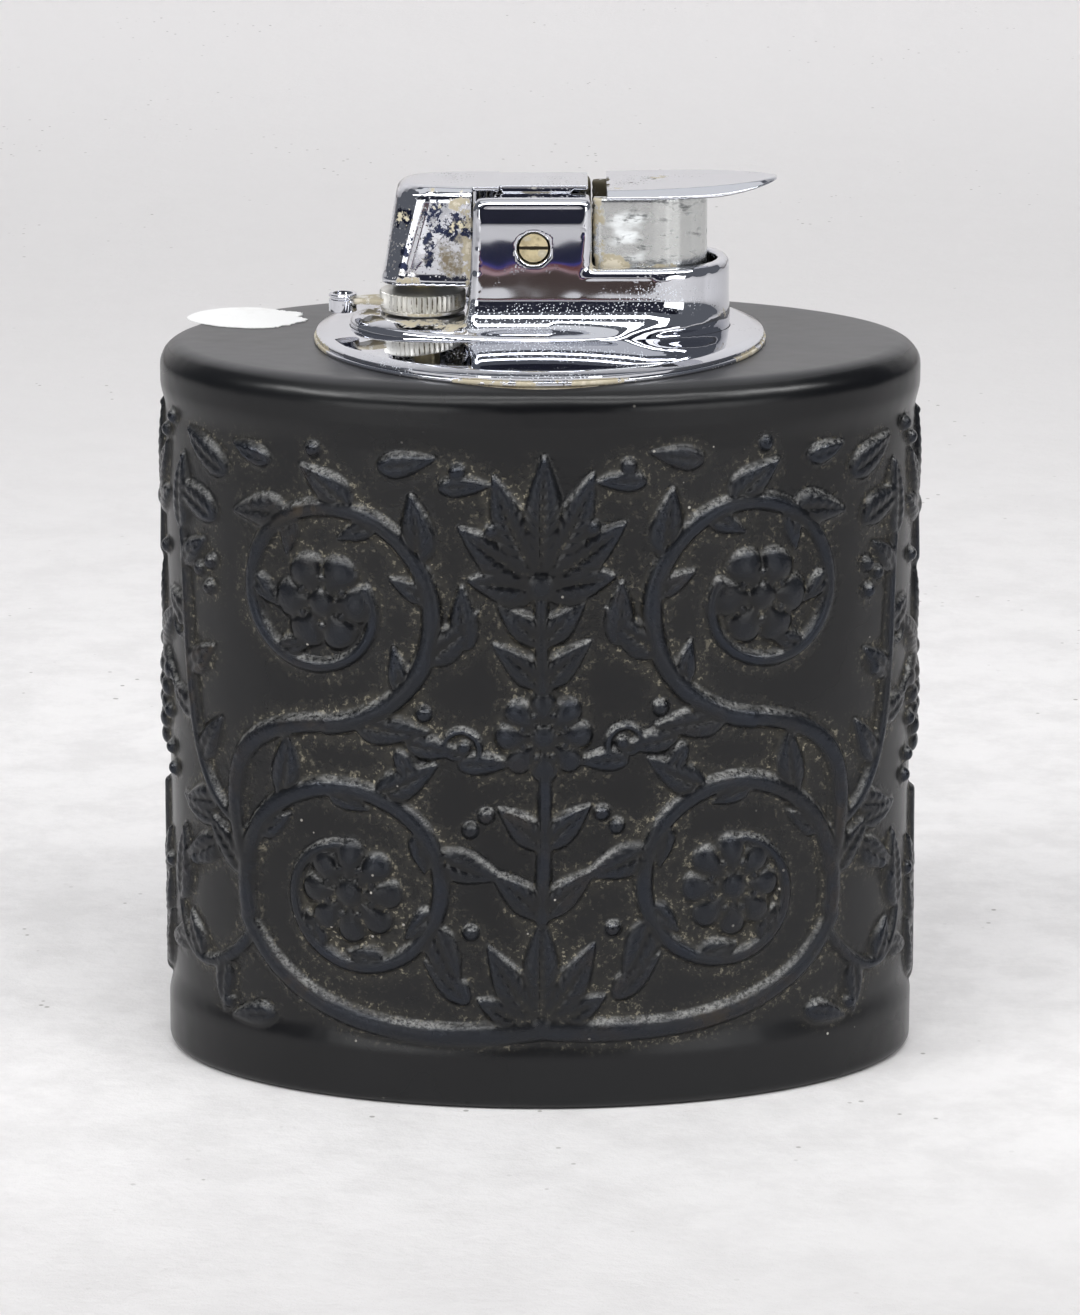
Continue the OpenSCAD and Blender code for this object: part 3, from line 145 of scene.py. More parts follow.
def edit(piece):
    """Starts edit mode on one piece, with all of it selected."""
    pick(piece)
    bpy.ops.object.mode_set(mode="EDIT")
    bpy.ops.mesh.select_all(action="SELECT")


def pick(piece):
    if bpy.context.mode != "OBJECT":
        bpy.ops.object.mode_set(mode="OBJECT")
    bpy.ops.object.select_all(action="DESELECT")
    piece.select_set(True)
    bpy.context.view_layer.objects.active = piece


def face_outwards():
    """In edit mode, turns all faces outwards, and goes back to object mode."""
    bpy.ops.mesh.select_all(action="SELECT")
    bpy.ops.mesh.normals_make_consistent(inside=False)
    bpy.ops.object.mode_set(mode="OBJECT")


def choose(piece, kind, wanted):
    """In edit mode, selects only the vertices, or the edges by their middle, that wanted says."""
    bpy.ops.mesh.select_mode(type=kind)
    bpy.ops.mesh.select_all(action="DESELECT")
    bpy.ops.object.mode_set(mode="OBJECT")
    mesh = piece.data
    if kind == "VERT":
        for v in mesh.vertices:
            v.select = wanted(v.co)
    else:
        for e in mesh.edges:
            a, b = (mesh.vertices[i].co for i in e.vertices)
            e.select = wanted((a + b) / 2)
    bpy.ops.object.mode_set(mode="EDIT")


bpy.ops.object.select_all(action="DESELECT")
bpy.ops.mesh.primitive_plane_add(size=2.8, location=(0, -0.1, 0))
sweep = bpy.context.object
sweep.name = "paper_sweep"
bpy.ops.object.transform_apply(location=True)
edit(sweep)
choose(sweep, "EDGE", lambda c: c.y > 1.2)
bpy.ops.mesh.spin(steps=14, angle=math.radians(80), center=(0, 1.3, 0.5), axis=(1, 0, 0))
bpy.ops.mesh.extrude_region_move(TRANSFORM_OT_translate={"value": (0, 0.1, 1.0)})
bpy.ops.object.mode_set(mode="OBJECT")
bpy.ops.object.shade_smooth_by_angle(angle=math.radians(30))
paper = Finish("grey_paper", (0.85, 0.835, 0.83), 0.9)
# Painted light: a brighter pool of paper is left round the lighter, and the paper is painted darker towards
# the camera.
paper.coat(paper.ramp(paper.along("Y"), -0.02, -0.10), colour=(0.70, 0.685, 0.68))
paper.coat(paper.ramp(paper.noise(7, 7, 0.72), 0.38, 0.66, 0, 0.35), colour=(0.60, 0.585, 0.58))
# Painted light: darker again midway back, then painted paler further back to make up for the lamps' falloff.
paper.coat(paper.ramp(paper.along("Y"), 0.1, 0.35, 0, 0.9), colour=(0.74, 0.725, 0.72))
paper.coat(paper.ramp(paper.along("Y"), 0.4, 0.85), colour=(0.98, 0.965, 0.96))
specks = paper.times(paper.ramp(paper.cells(4), 0.10, 0.05), paper.ramp(paper.noise(30, 3), 0.5, 0.6))
paper.coat(specks, colour=(0.40, 0.385, 0.37))
paper.bump(paper.noise(1.2, 5, 0.7), 0.25)
sweep.data.materials.append(paper.material)

card_finish = Finish("dark_card", (0.008, 0.010, 0.030), 0.7)
strip_finish = Finish("banded_strip", (0.006, 0.010, 0.050), 0.7)
streaks = strip_finish.noise(0.9, 3, 0.6, strip_finish.stretched(0.03, 1, 1))
high = strip_finish.along("Z")
strip_finish.coat(strip_finish.ramp(high, 0.0374, 0.0372), colour=(0.04, 0.06, 0.40))
strip_finish.coat(strip_finish.ramp(high, 0.0368, 0.0366), colour=(0.24, 0.075, 0.055))
streaked = strip_finish.times(strip_finish.ramp(high, 0.0366, 0.0364), strip_finish.ramp(streaks, 0.46, 0.54))
strip_finish.coat(streaked, colour=(0.62, 0.42, 0.44))
strip_finish.coat(strip_finish.ramp(high, 0.0350, 0.0345), colour=(0.085, 0.055, 0.045))


def card(name, width, height, place, turn, finish=card_finish):
    """A card, width by height in metres, standing at place and turned as turn says in degrees."""
    bpy.ops.object.select_all(action="DESELECT")
    bpy.ops.mesh.primitive_plane_add(size=1, location=place, rotation=[math.radians(t) for t in turn])
    sheet = bpy.context.object
    sheet.name = name
    sheet.scale = (width, height, 1)
    bpy.ops.object.transform_apply(location=True, rotation=True, scale=True)
    sheet.data.materials.append(finish.material)


def lamp(name, width, height, place, aim, power):
    """A soft box, width by height in metres, at place and facing aim."""
    bpy.ops.object.light_add(type="AREA", location=place)
    box = bpy.context.object
    box.name = name
    box.data.shape = "RECTANGLE"
    box.data.size = width
    box.data.size_y = height
    box.data.energy = power
    way = box.location.copy()
    way.x, way.y, way.z = [aim[k] - place[k] for k in range(3)]
    box.rotation_euler = way.to_track_quat("-Z", "Y").to_euler()


lamp("soft_box_top", 1.4, 0.9, (0, 0.1, 1.15), (0, 0.1, 0), 3.1)
lamp("soft_box_left", 0.45, 0.20, (-0.85, -0.55, 0.85), (0, 0, 0.05), 4.2)
lamp("soft_box_right", 0.45, 0.20, (0.85, -0.50, 0.85), (0, 0, 0.05), 3.8)
lamp("soft_box_front", 1.6, 0.17, (0, -1.15, 1.05), (0, 0, 0.03), 6.0)
lamp("soft_box_over", 1.6, 0.14, (0, -0.62, 1.12), (0, 0, 0.06), 6.9)
lamp("strip_left", 0.56, 0.26, (-0.54, -0.92, 0.15), (0, 0, 0.09), 1.25)
lamp("strip_right", 0.56, 0.26, (0.58, -0.88, 0.15), (0, 0, 0.09), 1.1)
card("card_front", 2.4, 0.75, (0, -1.35, 0.39), (90, 0, 0))
card("strip_low", 0.5, 0.0098, (0, -0.5, 0.0362), (90, 0, 0), strip_finish)
world = bpy.data.worlds.new("room")
world.use_nodes = True
world.node_tree.nodes["Background"].inputs[0].default_value = (0.18, 0.19, 0.215, 1)
world.node_tree.nodes["Background"].inputs[1].default_value = 0.8
bpy.context.scene.world = world
bpy.context.scene.view_settings.view_transform = "Standard"


# Ceramic body
# One slip-cast oval jar in satin near-black glaze. Its side carries a moulded relief of vine scrolls,
# rosettes, leaves and grapes on a sunk ground, between a plain foot and a plain rim. It is made in four
# quarters, so that each keeps a fine mesh. The relief is first worked out as heights on a flat grid.
BODY_A, BODY_B, BODY_H = 42.5, 26.35, 82.0
FOOT_R, RIM_R, MOUTH_R, MOUTH_FLOOR = 1.2, 2.8, 20.75, 77
WELL_A, WELL_B, WELL_FLOOR = 38, 21.85, 5
GRID = 0.12
around = np.linspace(0, 2 * math.pi, 7201)
steps = np.hypot(-BODY_A * np.sin(around), BODY_B * np.cos(around))
girth = np.concatenate([[0], np.cumsum((steps[1:] + steps[:-1]) / 2) * (around[1] - around[0])])
CELL = girth[-1] / 4
cell_u = np.arange(-1.0, CELL + 1.0, GRID)
cell_v = np.arange(5.0, 77.0, GRID)
relief = np.zeros((len(cell_v), len(cell_u)))


def patch(x, y, reach_x, reach_y):
    """The part of the relief's grid around (x, y), or None where that lies outside it."""
    i0, i1 = np.searchsorted(cell_u, [x - reach_x, x + reach_x])
    j0, j1 = np.searchsorted(cell_v, [y - reach_y, y + reach_y])
    if i0 == i1 or j0 == j1:
        return None
    across, up = np.meshgrid(cell_u[i0:i1] - x, cell_v[j0:j1] - y)
    return relief[j0:j1, i0:i1], across, up


def images(x):
    """A place in the cell and its mirror images about the cell's two edges, each with its hand."""
    return (x, 1), (-x, -1), (2 * CELL - x, -1)


def berry(x, y, r, h):
    for cx, _ in images(x):
        found = patch(cx, y, r, r)
        if found:
            area, across, up = found
            np.maximum(area, h * np.sqrt(np.clip(1 - (across ** 2 + up ** 2) / r ** 2, 0, 1)), out=area)


def stem(points, w0, w1, h, tip):
    """A rounded stem along points, half width w0 at its start, w1 in the middle and tip at its end."""
    line = np.array(points, float)
    gone = np.concatenate([[0], np.cumsum(np.hypot(*(line[1:] - line[:-1]).T))])
    width = np.interp(gone / gone[-1], [0, 0.35, 0.8, 1], [w0, w1, (w1 + tip) / 2, tip])
    for shift, hand in images(0):
        path = line * (hand, 1) + (shift, 0)
        for a, b, wa, wb in zip(path[:-1], path[1:], width[:-1], width[1:]):
            middle, reach = (a + b) / 2, np.abs(b - a) / 2 + max(wa, wb)
            found = patch(*middle, *reach)
            if not found:
                continue
            area, across, up = found
            way = b - a
            t = np.clip((across * way[0] + up * way[1]) / (way @ way + 1e-9) + 0.5, 0, 1)
            off = np.hypot(across - (t - 0.5) * way[0], up - (t - 0.5) * way[1])
            wide = wa + (wb - wa) * t
            rise = h * (0.45 + 0.55 * wide / max(w0, w1))
            np.maximum(area, rise * np.sqrt(np.clip(1 - (off / wide) ** 2, 0, 1)), out=area)


def leaf(x, y, angle, long, wide, h, bend):
    """A pointed leaf that grows from (x, y) towards angle, with a sunk midrib and side veins."""
    for cx, hand in images(x):
        found = patch(cx, y, long, long)
        if not found:
            continue
        area, across, up = found
        a = math.radians(angle if hand > 0 else 180 - angle)
        t = (across * math.cos(a) + up * math.sin(a)) / long
        off = up * math.cos(a) - across * math.sin(a) - bend * hand * long * t * t
        inside = (t > 0) & (t < 1)
        t = np.clip(t, 0, 1)
        half = wide * np.sin(math.pi * t ** 0.75) ** 0.8 * (1 - 0.25 * t) + 1e-6
        e = np.abs(off) / half
        rise = np.where(inside, np.sqrt(np.clip(1 - e ** 2, 0, 1)), 0)
        rise *= 1 - 0.3 * np.exp(-(off / (0.1 * wide + 0.12)) ** 2) * (t < 0.92)
        vein = 0.5 + 0.5 * np.cos(2 * math.pi * (t * long - 1.1 * np.abs(off)) / 1.25)
        rise *= 1 - 0.14 * vein * (e < 0.9)
        np.maximum(area, h * rise * (0.72 + 0.28 * np.sin(math.pi * t)), out=area)


def palm(x, y, angle, long, h, fan):
    """A fan of leaves, each (turn, share of the length), on one boss."""
    for turn, share in sorted(fan, key=lambda f: f[1]):
        leaf(x, y, angle + turn, long * share, long * 0.2, h * (0.8 + 0.2 * share), -0.12 * np.sign(turn))
    berry(x, y, long * 0.13, h * 1.05)


def pair(*fan):
    """Fan entries on both sides: (turn, share) also at minus turn."""
    return [(s * turn, share) for turn, share in fan for s in ((1, -1) if turn else (1,))]


def rosette(x, y, r, petals, h):
    for cx, hand in images(x):
        found = patch(cx, y, r, r)
        if not found:
            continue
        area, across, up = found
        out = np.hypot(across, up)
        petal = np.abs(np.cos(petals * np.arctan2(up, across * hand) / 2))
        e = np.clip(out / (r * (0.78 + 0.22 * petal ** 0.6)), 0, 1)
        rise = np.sqrt(np.clip(1 - e ** 4, 0, 1)) * (0.45 + 0.55 * petal ** 0.5)
        np.maximum(area, h * rise * (0.6 + 0.4 * np.clip(out / r * 1.6, 0, 1)), out=area)
    berry(x, y, r * 0.34, h * 1.12)
    for k in range(petals):
        a = 2 * math.pi * (k + 0.5) / petals
        berry(x + r * 0.46 * math.cos(a), y + r * 0.46 * math.sin(a), r * 0.09, h)


def scroll(x, y, r0, r1, a0, a1, n=110):
    """Points of a spiral about (x, y)."""
    t = np.linspace(0, 1, n)
    r, a = r0 + (r1 - r0) * t, np.radians(a0 + (a1 - a0) * t)
    return np.column_stack([x + r * np.cos(a), y + r * np.sin(a)])


def sweep_line(p0, p1, p2, p3):
    """Points of a smooth curve from p0 to p3, pulled towards p1 and p2."""
    t = np.linspace(0, 1, 40)[:, None]
    a, b, c, d = [np.array(p, float) for p in (p0, p1, p2, p3)]
    return (1 - t) ** 3 * a + 3 * t * (1 - t) ** 2 * b + 3 * t * t * (1 - t) * c + t ** 3 * d


def foliage(points, shares, side, long, wide, h, lean, bend):
    """Leaves that spring from a stem at those shares of its length, on one side or, for 0, by turns."""
    for n, share in enumerate(shares):
        k = min(len(points) - 2, int(share * (len(points) - 1)))
        (x, y), way = points[k], np.array(points[k + 1]) - points[k]
        hand = side or (1 if n % 2 else -1)
        angle = math.degrees(math.atan2(way[1], way[0])) + hand * lean
        leaf(x, y, angle, long * (1 - 0.25 * share), wide, h, bend * hand)


def tendril(x, y, angle, r, turn, h):
    """A small coil that ends in a berry."""
    a, hand = math.radians(angle), math.copysign(1, turn)
    points = scroll(x - hand * r * math.sin(a), y + hand * r * math.cos(a), r, r * 0.28,
                    angle - 90 * hand, angle - 90 * hand + turn, 44)
    stem(points, 0.42, 0.42, h, 0.3)
    berry(*points[-1], 0.85, h * 1.15)


# Relief: lower and upper scroll of one cell
# PROUD is the height of its main forms on the grid. The body's mesh makes all heights RELIEF_SCALE times as
# high, over a ground sunk by GROUND_DEPTH.
PROUD, RELIEF_SCALE, GROUND_DEPTH = 0.66, 1.5, 0.55
stem(sweep_line((0.0, 9.4), (7.0, 8.4), (27.0, 6.6), (34.4, 20.0)), 1.5, 1.3, PROUD, 1.2)
low_scroll = scroll(21.0, 24.8, 13.8, 5.4, -18, 436)
stem(low_scroll, 1.25, 1.15, PROUD, 0.6)
rosette(21.0, 24.8, 6.0, 8, PROUD * 1.15)
foliage(low_scroll, (0.04, 0.15, 0.27, 0.38, 0.48), -1, 8.6, 2.3, PROUD * 1.02, 38, 0.2)
foliage(low_scroll, (0.1, 0.22, 0.34, 0.46, 0.58, 0.7), 1, 5.6, 1.55, PROUD * 0.95, 40, -0.18)
stem(sweep_line((34.2, 26.0), (38.6, 38.0), (33.0, 43.0), (23.6, 43.8)), 1.4, 1.25, PROUD, 1.1)
high_scroll = scroll(24.2, 57.6, 13.9, 5.2, -92, -560)
stem(high_scroll, 1.25, 1.15, PROUD, 0.6)
rosette(24.2, 57.6, 5.8, 6, PROUD * 1.15)
foliage(high_scroll, (0.03, 0.13, 0.24, 0.34, 0.44), 1, 8.4, 2.25, PROUD * 1.02, 38, -0.2)
foliage(high_scroll, (0.09, 0.2, 0.31, 0.43, 0.55, 0.67), -1, 5.6, 1.5, PROUD * 0.95, 40, 0.18)

# Relief: the upright at the middle of each long side
palm(0, 9.6, 90, 13.0, PROUD, pair((0, 1), (38, 0.85), (72, 0.6)))
for y0, y1, long in ((22.0, 38.0, 8.0), (48.2, 58.0, 7.6)):
    shaft = np.column_stack([np.zeros(9), np.linspace(y0, y1, 9)])
    stem(shaft, 0.9, 0.9, PROUD * 0.9, 0.8)
    foliage(shaft, (0.05, 0.52), -1, long, 2.05, PROUD, 35, 0.18)
rosette(0, 43.0, 5.4, 8, PROUD * 1.15)
palm(0, 60.0, 90, 14.5, PROUD, pair((0, 1), (30, 0.92), (60, 0.76), (92, 0.55)))

# Relief: the upright at each narrow end, with a bunch of grapes under a vine leaf
shaft = np.column_stack([np.full(9, CELL), np.linspace(8.5, 30.0, 9)])
stem(shaft, 1.1, 0.95, PROUD * 0.9, 0.8)
foliage(shaft, (0.0, 0.3, 0.6), 1, 8.4, 2.2, PROUD, 40, -0.22)
for row in range(5):
    for k in range(5 - row):
        x, y = CELL + (k - (4 - row) / 2) * 2.5, 44.6 - row * 2.2
        berry(x, y, 1.42, PROUD * (1.15 if (k + row) % 2 else 1.03))
palm(CELL, 47.0, 90, 10.5, PROUD, pair((0, 1), (62, 0.98), (120, 0.8)))
stem([(CELL, 57.5), (CELL, 64)], 0.9, 0.8, PROUD * 0.9, 0.6)
palm(CELL, 63.5, 90, 11.5, PROUD, pair((0, 1), (42, 0.82), (78, 0.55)))

# Relief: side shoots, tendrils, loose leaves and berries that fill the ground
shoot = sweep_line((36.4, 31.0), (45.0, 36.0), (42.6, 50.0), (45.0, 62.0))
stem(shoot, 0.85, 0.8, PROUD * 0.85, 0.5)
foliage(shoot, (0.1, 0.26, 0.42, 0.58, 0.74, 0.9), 0, 7.0, 1.85, PROUD * 0.95, 46, 0.14)
shoot = sweep_line((33.8, 18.0), (38.5, 11.5), (44.5, 11.0), (46.6, 18.5))
stem(shoot, 0.85, 0.8, PROUD * 0.85, 0.5)
foliage(shoot, (0.28, 0.52, 0.76), 0, 6.8, 1.8, PROUD * 0.95, 48, 0.14)
tendril(44.4, 53.0, 20, 2.1, -380, PROUD * 0.7)
tendril(7.2, 40.6, 120, 2.4, -400, PROUD * 0.75)
for x, y, angle, long, bend in (
        (45.0, 62.0, 84, 9.0, 0.14), (46.6, 18.5, 104, 9.4, -0.14), (9.4, 39.8, 172, 6.0, 0.12),
        (11.0, 71.0, 172, 5.6, 0.1), (38.6, 64.5, 30, 8.4, -0.16), (36.6, 70.2, 22, 8.0, 0.12),
        (30.4, 72.6, 8, 5.4, 0.1), (17.6, 73.2, 176, 6.4, -0.1), (8.0, 12.4, 52, 7.0, -0.12),
        (38.6, 27.8, -36, 8.0, 0.12), (39.0, 30.0, 6, 6.8, 0.12), (15.0, 42.4, 196, 6.4, -0.12),
        (16.0, 41.4, 232, 5.2, 0.12), (8.0, 52.8, 78, 7.4, 0.14), (30.6, 9.0, -4, 6.0, -0.14)):
    leaf(x, y, angle, long, long * 0.26, PROUD, bend)
for x, y in ((42.8, 24.6), (44.8, 22.6), (13.0, 45.6), (49.6, 72.4), (47.4, 74.4), (50.4, 58.8), (37.2, 9.2),
             (25.0, 74.6), (50.6, 39.6), (48.8, 33.4), (49.8, 35.6), (6.2, 34.0), (7.8, 32.4), (5.2, 66.2),
             (3.0, 56.0), (12.8, 8.6), (41.2, 58.4), (39.6, 56.6), (39.4, 59.6), (50.8, 22.0), (40.6, 47.6),
             (7.6, 20.6), (9.0, 72.8)):
    berry(x, y, 0.95, PROUD * 0.95)


def softened(heights, reach):
    """The heights blurred over reach millimetres."""
    rows, columns = heights.shape
    margin = 40
    wide = np.pad(heights, margin, mode="reflect")
    fy, fx = np.fft.fftfreq(wide.shape[0], GRID)[:, None], np.fft.rfftfreq(wide.shape[1], GRID)[None, :]
    keep = np.exp(-2 * (math.pi * reach) ** 2 * (fx ** 2 + fy ** 2))
    return np.fft.irfft2(np.fft.rfft2(wide) * keep, wide.shape)[margin:margin + rows, margin:margin + columns]


relief = softened(relief, 0.13)
# From 0 to 1: how far a place lies below what is round it, where dust gathers, or stands over it.
hollow = np.clip((softened(relief, 1.0) - relief) / 0.22, 0, 1)
ridge = np.clip((relief - softened(relief, 0.9)) / 0.22, 0, 1)


def read(values, u, v):
    """The grid's values at places (u, v) of the whole side, where every second cell is mirrored."""
    u = np.abs((u + CELL) % (2 * CELL) - CELL)
    x = np.clip((u - cell_u[0]) / GRID, 0, len(cell_u) - 1.001)
    y = np.clip((v - cell_v[0]) / GRID, 0, len(cell_v) - 1.001)
    i, j = x.astype(int), y.astype(int)
    fx, fy = x - i, y - j
    return ((values[j, i] * (1 - fx) + values[j, i + 1] * fx) * (1 - fy)
            + (values[j + 1, i] * (1 - fx) + values[j + 1, i + 1] * fx) * fy)


def body_rows():
    """Half axes and height of each row of the body's mesh, from the base's centre to the well's floor."""
    rows = [(0, 0, 0), (20, 8, 0), (BODY_A - 3, BODY_B - 3, 0)]
    for t in np.radians(np.linspace(0, 90, 6)):
        inset = FOOT_R * (1 - math.sin(t))
        rows.append((BODY_A - inset, BODY_B - inset, FOOT_R * (1 - math.cos(t))))
    rows += [(BODY_A, BODY_B, z) for z in np.linspace(FOOT_R, BODY_H - RIM_R, 340)[1:-1]]
    for t in np.radians(np.linspace(90, 0, 11)):
        inset = RIM_R * (1 - math.sin(t))
        rows.append((BODY_A - inset, BODY_B - inset, BODY_H - RIM_R * (1 - math.cos(t))))
    a, b, lip = BODY_A - RIM_R, BODY_B - RIM_R, MOUTH_R + 0.35
    rows += [(a + (lip - a) * s, b + (lip - b) * s, BODY_H) for s in np.linspace(0, 1, 8)[1:]]
    rows += [(MOUTH_R + 0.1, MOUTH_R + 0.1, BODY_H - 0.1)]
    rows += [(MOUTH_R, MOUTH_R, z) for z in (BODY_H - 0.35, MOUTH_FLOOR)]
    rows += [(WELL_A, WELL_B, z) for z in (MOUTH_FLOOR, 40, WELL_FLOOR)]
    rows += [(18, 9, WELL_FLOOR), (0, 0, WELL_FLOOR)]
    return np.array(rows)


def ease(value, low, high):
    t = np.clip((value - low) / (high - low), 0, 1)
    return t * t * (3 - 2 * t)


def places(piece):
    """The piece's vertices as rows of x, y and z."""
    flat = np.empty(len(piece.data.vertices) * 3)
    piece.data.vertices.foreach_get("co", flat)
    return flat.reshape(-1, 3)


def paint(piece, name, amounts):
    """Keeps an amount for each vertex, which a finish reads as the attribute of that name."""
    piece.data.attributes.new(name, "FLOAT", "POINT").data.foreach_set("value", amounts)


# The glaze: patches of two glosses, polished ridges with a painted bluish sheen, dust in the hollows, brown
# on rubbed ridges, a duller top made paler by dust and a painted reflection, dust and a painted highlight on
# the ledges that face upwards, specks, and a fine grain on the relief.
glaze = Finish("satin_ceramic", (0.0012, 0.0014, 0.0020), 0.24)
glaze.shader.inputs["Specular IOR Level"].default_value = 0.38
duller = glaze.ramp(glaze.noise(22, 4), 0.38, 0.66, 0, 0.6)
glaze.coat(duller, colour=(0.0050, 0.0054, 0.0062), roughness=0.34)
# Polished ridges with a painted sheen: a glossy, bluish metallic coat that makes them reflect more than the
# glaze.
polish_and_sheen = glaze.times(glaze.attribute("ridge"), glaze.ramp(glaze.noise(5, 4), 0.3, 0.6, 0.35, 1))
glaze.coat(polish_and_sheen, colour=(0.033, 0.037, 0.046), roughness=0.2, metallic=1.0)
hollows = glaze.times(glaze.attribute("hollow"), glaze.ramp(glaze.noise(6, 6, 0.7), 0.36, 0.64, 0, 0.8))
dust = glaze.times(hollows, glaze.ramp(glaze.noise(0.45, 4, 0.7), 0.36, 0.62, 0.25, 0.95))
glaze.coat(dust, colour=(0.050, 0.045, 0.033), roughness=0.6, metallic=0.0)
glaze.coat(glaze.times(hollows, glaze.ramp(glaze.noise(0.3, 4, 0.75), 0.55, 0.64)), colour=(0.42, 0.38, 0.28))
rubbed = glaze.times(glaze.attribute("ridge"), glaze.ramp(glaze.noise(9, 4), 0.52, 0.72))
rubbed = glaze.times(rubbed, glaze.ramp(glaze.noise(0.8), 0.35, 0.65, 0.1, 0.5))
glaze.coat(rubbed, colour=(0.070, 0.048, 0.022), roughness=0.45)
# Partly painted reflection: a paler, duller grey on the top, which is dust and a painted stand-in for the
# bright backdrop it mirrors.
upper = glaze.ramp(glaze.along("Z"), 0.0812, 0.0820)
upper = glaze.times(upper, glaze.ramp(glaze.noise(14, 5), 0.3, 0.7, 0.4, 0.95))
glaze.coat(upper, colour=(0.070, 0.070, 0.074), roughness=0.4)
# Painted highlight with dust: a pale grainy coat on the upper edges of the forms, which face the lamps
# overhead.
ledge_dust_and_highlight = glaze.times(glaze.attribute("ledge_dust_and_highlight"), glaze.ramp(glaze.noise(2.2, 4), 0.34, 0.62, 0.12, 1))
ledge_dust_and_highlight = glaze.times(ledge_dust_and_highlight, glaze.ramp(glaze.noise(0.26, 4, 0.8), 0.38, 0.64))
glaze.coat(ledge_dust_and_highlight, colour=(0.25, 0.25, 0.24), roughness=0.42, metallic=0.0)
specks = glaze.times(glaze.ramp(glaze.cells(2.6), 0.075, 0.045), glaze.ramp(glaze.noise(7, 2), 0.56, 0.62))
glaze.coat(specks, colour=(0.42, 0.40, 0.36), roughness=0.8)
glaze.bump(glaze.ramp(glaze.noise(3.2, 2), 0.2, 0.8), 0.05)
zone = glaze.ramp(glaze.plus(glaze.attribute("ridge"), glaze.attribute("hollow")), 0.05, 0.5)
glaze.bump(glaze.noise(1.3, 3), 0.22, zone)
glaze.bump(glaze.noise(0.3, 4, 0.75), 0.2, glaze.times(zone, glaze.ramp(hollows, 0.02, 0.5, 0.4, 1)))

rows = body_rows()
body_quarters = []
for start, name in enumerate(("right_back", "left_back", "left_front", "right_front")):
    bpy.ops.object.select_all(action="DESELECT")
    bpy.ops.mesh.primitive_grid_add(x_subdivisions=252, y_subdivisions=len(rows) - 1, size=1)
    quarter = bpy.context.object
    quarter.name = "ceramic_body_" + name
    grid_x, grid_y, _ = places(quarter).T
    u = (start + grid_x + 0.5) * CELL
    row = np.rint((grid_y + 0.5) * (len(rows) - 1)).astype(int)
    turn = np.interp(u, girth, around)
    a, b, z = rows[row].T
    out_x, out_y = np.cos(turn) / BODY_A, np.sin(turn) / BODY_B
    size = np.hypot(out_x, out_y)
    wall = (row > 2) & (z > 1.1) & (a > 42)
    lean_u = u + 0.5 * np.sin(4 * math.pi * u / girth[-1] + 0.7) + 0.2 * np.sin(z / 7 + u / 9)
    lean_v = z + 0.45 * np.sin(6 * math.pi * u / girth[-1] + 1.9)
    sunk = ease(z, 5.6, 9.0) * (1 - ease(z, 74.4, 77.6)) * wall
    carved = read(relief, lean_u + CELL, lean_v)
    wave = 0.05 * np.sin(u / 6.1 + z / 9) * np.sin(z / 11 - u / 13) * wall
    push = sunk * (carved * RELIEF_SCALE - GROUND_DEPTH) + wave
    x = a * np.cos(turn) + push * out_x / size
    y = b * np.sin(turn) + push * out_y / size
    quarter.data.vertices.foreach_set("co", (np.column_stack([x, y, z]) * MM).ravel())
    paint(quarter, "hollow", read(hollow, lean_u + CELL, lean_v) * sunk)
    paint(quarter, "ridge", read(ridge, lean_u + CELL, lean_v) * sunk)
    # How steeply each place faces upwards: where the dust and painted highlight of the ledges go.
    fall = read(relief, lean_u + CELL, lean_v - 0.15) - read(relief, lean_u + CELL, lean_v + 0.15)
    paint(quarter, "ledge_dust_and_highlight", ease(fall * RELIEF_SCALE / 0.3, 0.3, 1.1) * sunk)
    edit(quarter)
    bpy.ops.mesh.remove_doubles(threshold=0.004 * MM)
    choose(quarter, "VERT", lambda c: abs(c.x) < 1e-6)
    bpy.ops.mesh.edge_face_add()
    choose(quarter, "VERT", lambda c: abs(c.y) < 1e-6)
    bpy.ops.mesh.edge_face_add()
    face_outwards()
    bpy.ops.object.shade_smooth_by_angle(angle=math.radians(72))
    quarter.data.materials.append(glaze.material)
    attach(quarter, "body")
    body_quarters.append(quarter)
for quarter in body_quarters:
    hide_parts("body_shell")


# Paper remnant
# A torn white round of paper, blank, still glued to the left of the body's top. It is a tenth of a millimetre
# thick, and its right edge is the most torn.
bpy.ops.object.select_all(action="DESELECT")
bpy.ops.mesh.primitive_circle_add(vertices=180, radius=1, fill_type="NOTHING")
scrap = bpy.context.object
scrap.name = "paper_scrap"
SCRAP_X, SCRAP_Y = -33.4, 10.4
turns = (-180, -135, -100, -60, -25, -8, 6, 25, 50, 90, 140, 180)
reaches = (6.6, 5.6, 5.6, 6.6, 6.4, 7.4, 6.0, 6.9, 5.8, 6.2, 6.4, 6.6)
rough = np.random.default_rng(5)
for v in scrap.data.vertices:
    turn = math.degrees(math.atan2(v.co.y, v.co.x))
    torn = 0.12 + 0.5 * (abs(turn) < 60)
    r = np.interp(turn, turns, reaches) + torn * (rough.random() - 0.5)
    v.co.x = (SCRAP_X + r * math.cos(math.radians(turn))) * MM
    v.co.y = (SCRAP_Y + 0.92 * r * math.sin(math.radians(turn))) * MM
    v.co.z = (BODY_H + 0.03) * MM
edit(scrap)
bpy.ops.mesh.edge_face_add()
bpy.ops.mesh.extrude_region_move(TRANSFORM_OT_translate={"value": (0, 0, 0.09 * MM)})
face_outwards()
bpy.ops.object.shade_smooth_by_angle(angle=math.radians(40))
scrap_finish = Finish("torn_paper", (0.86, 0.86, 0.85), 0.8)
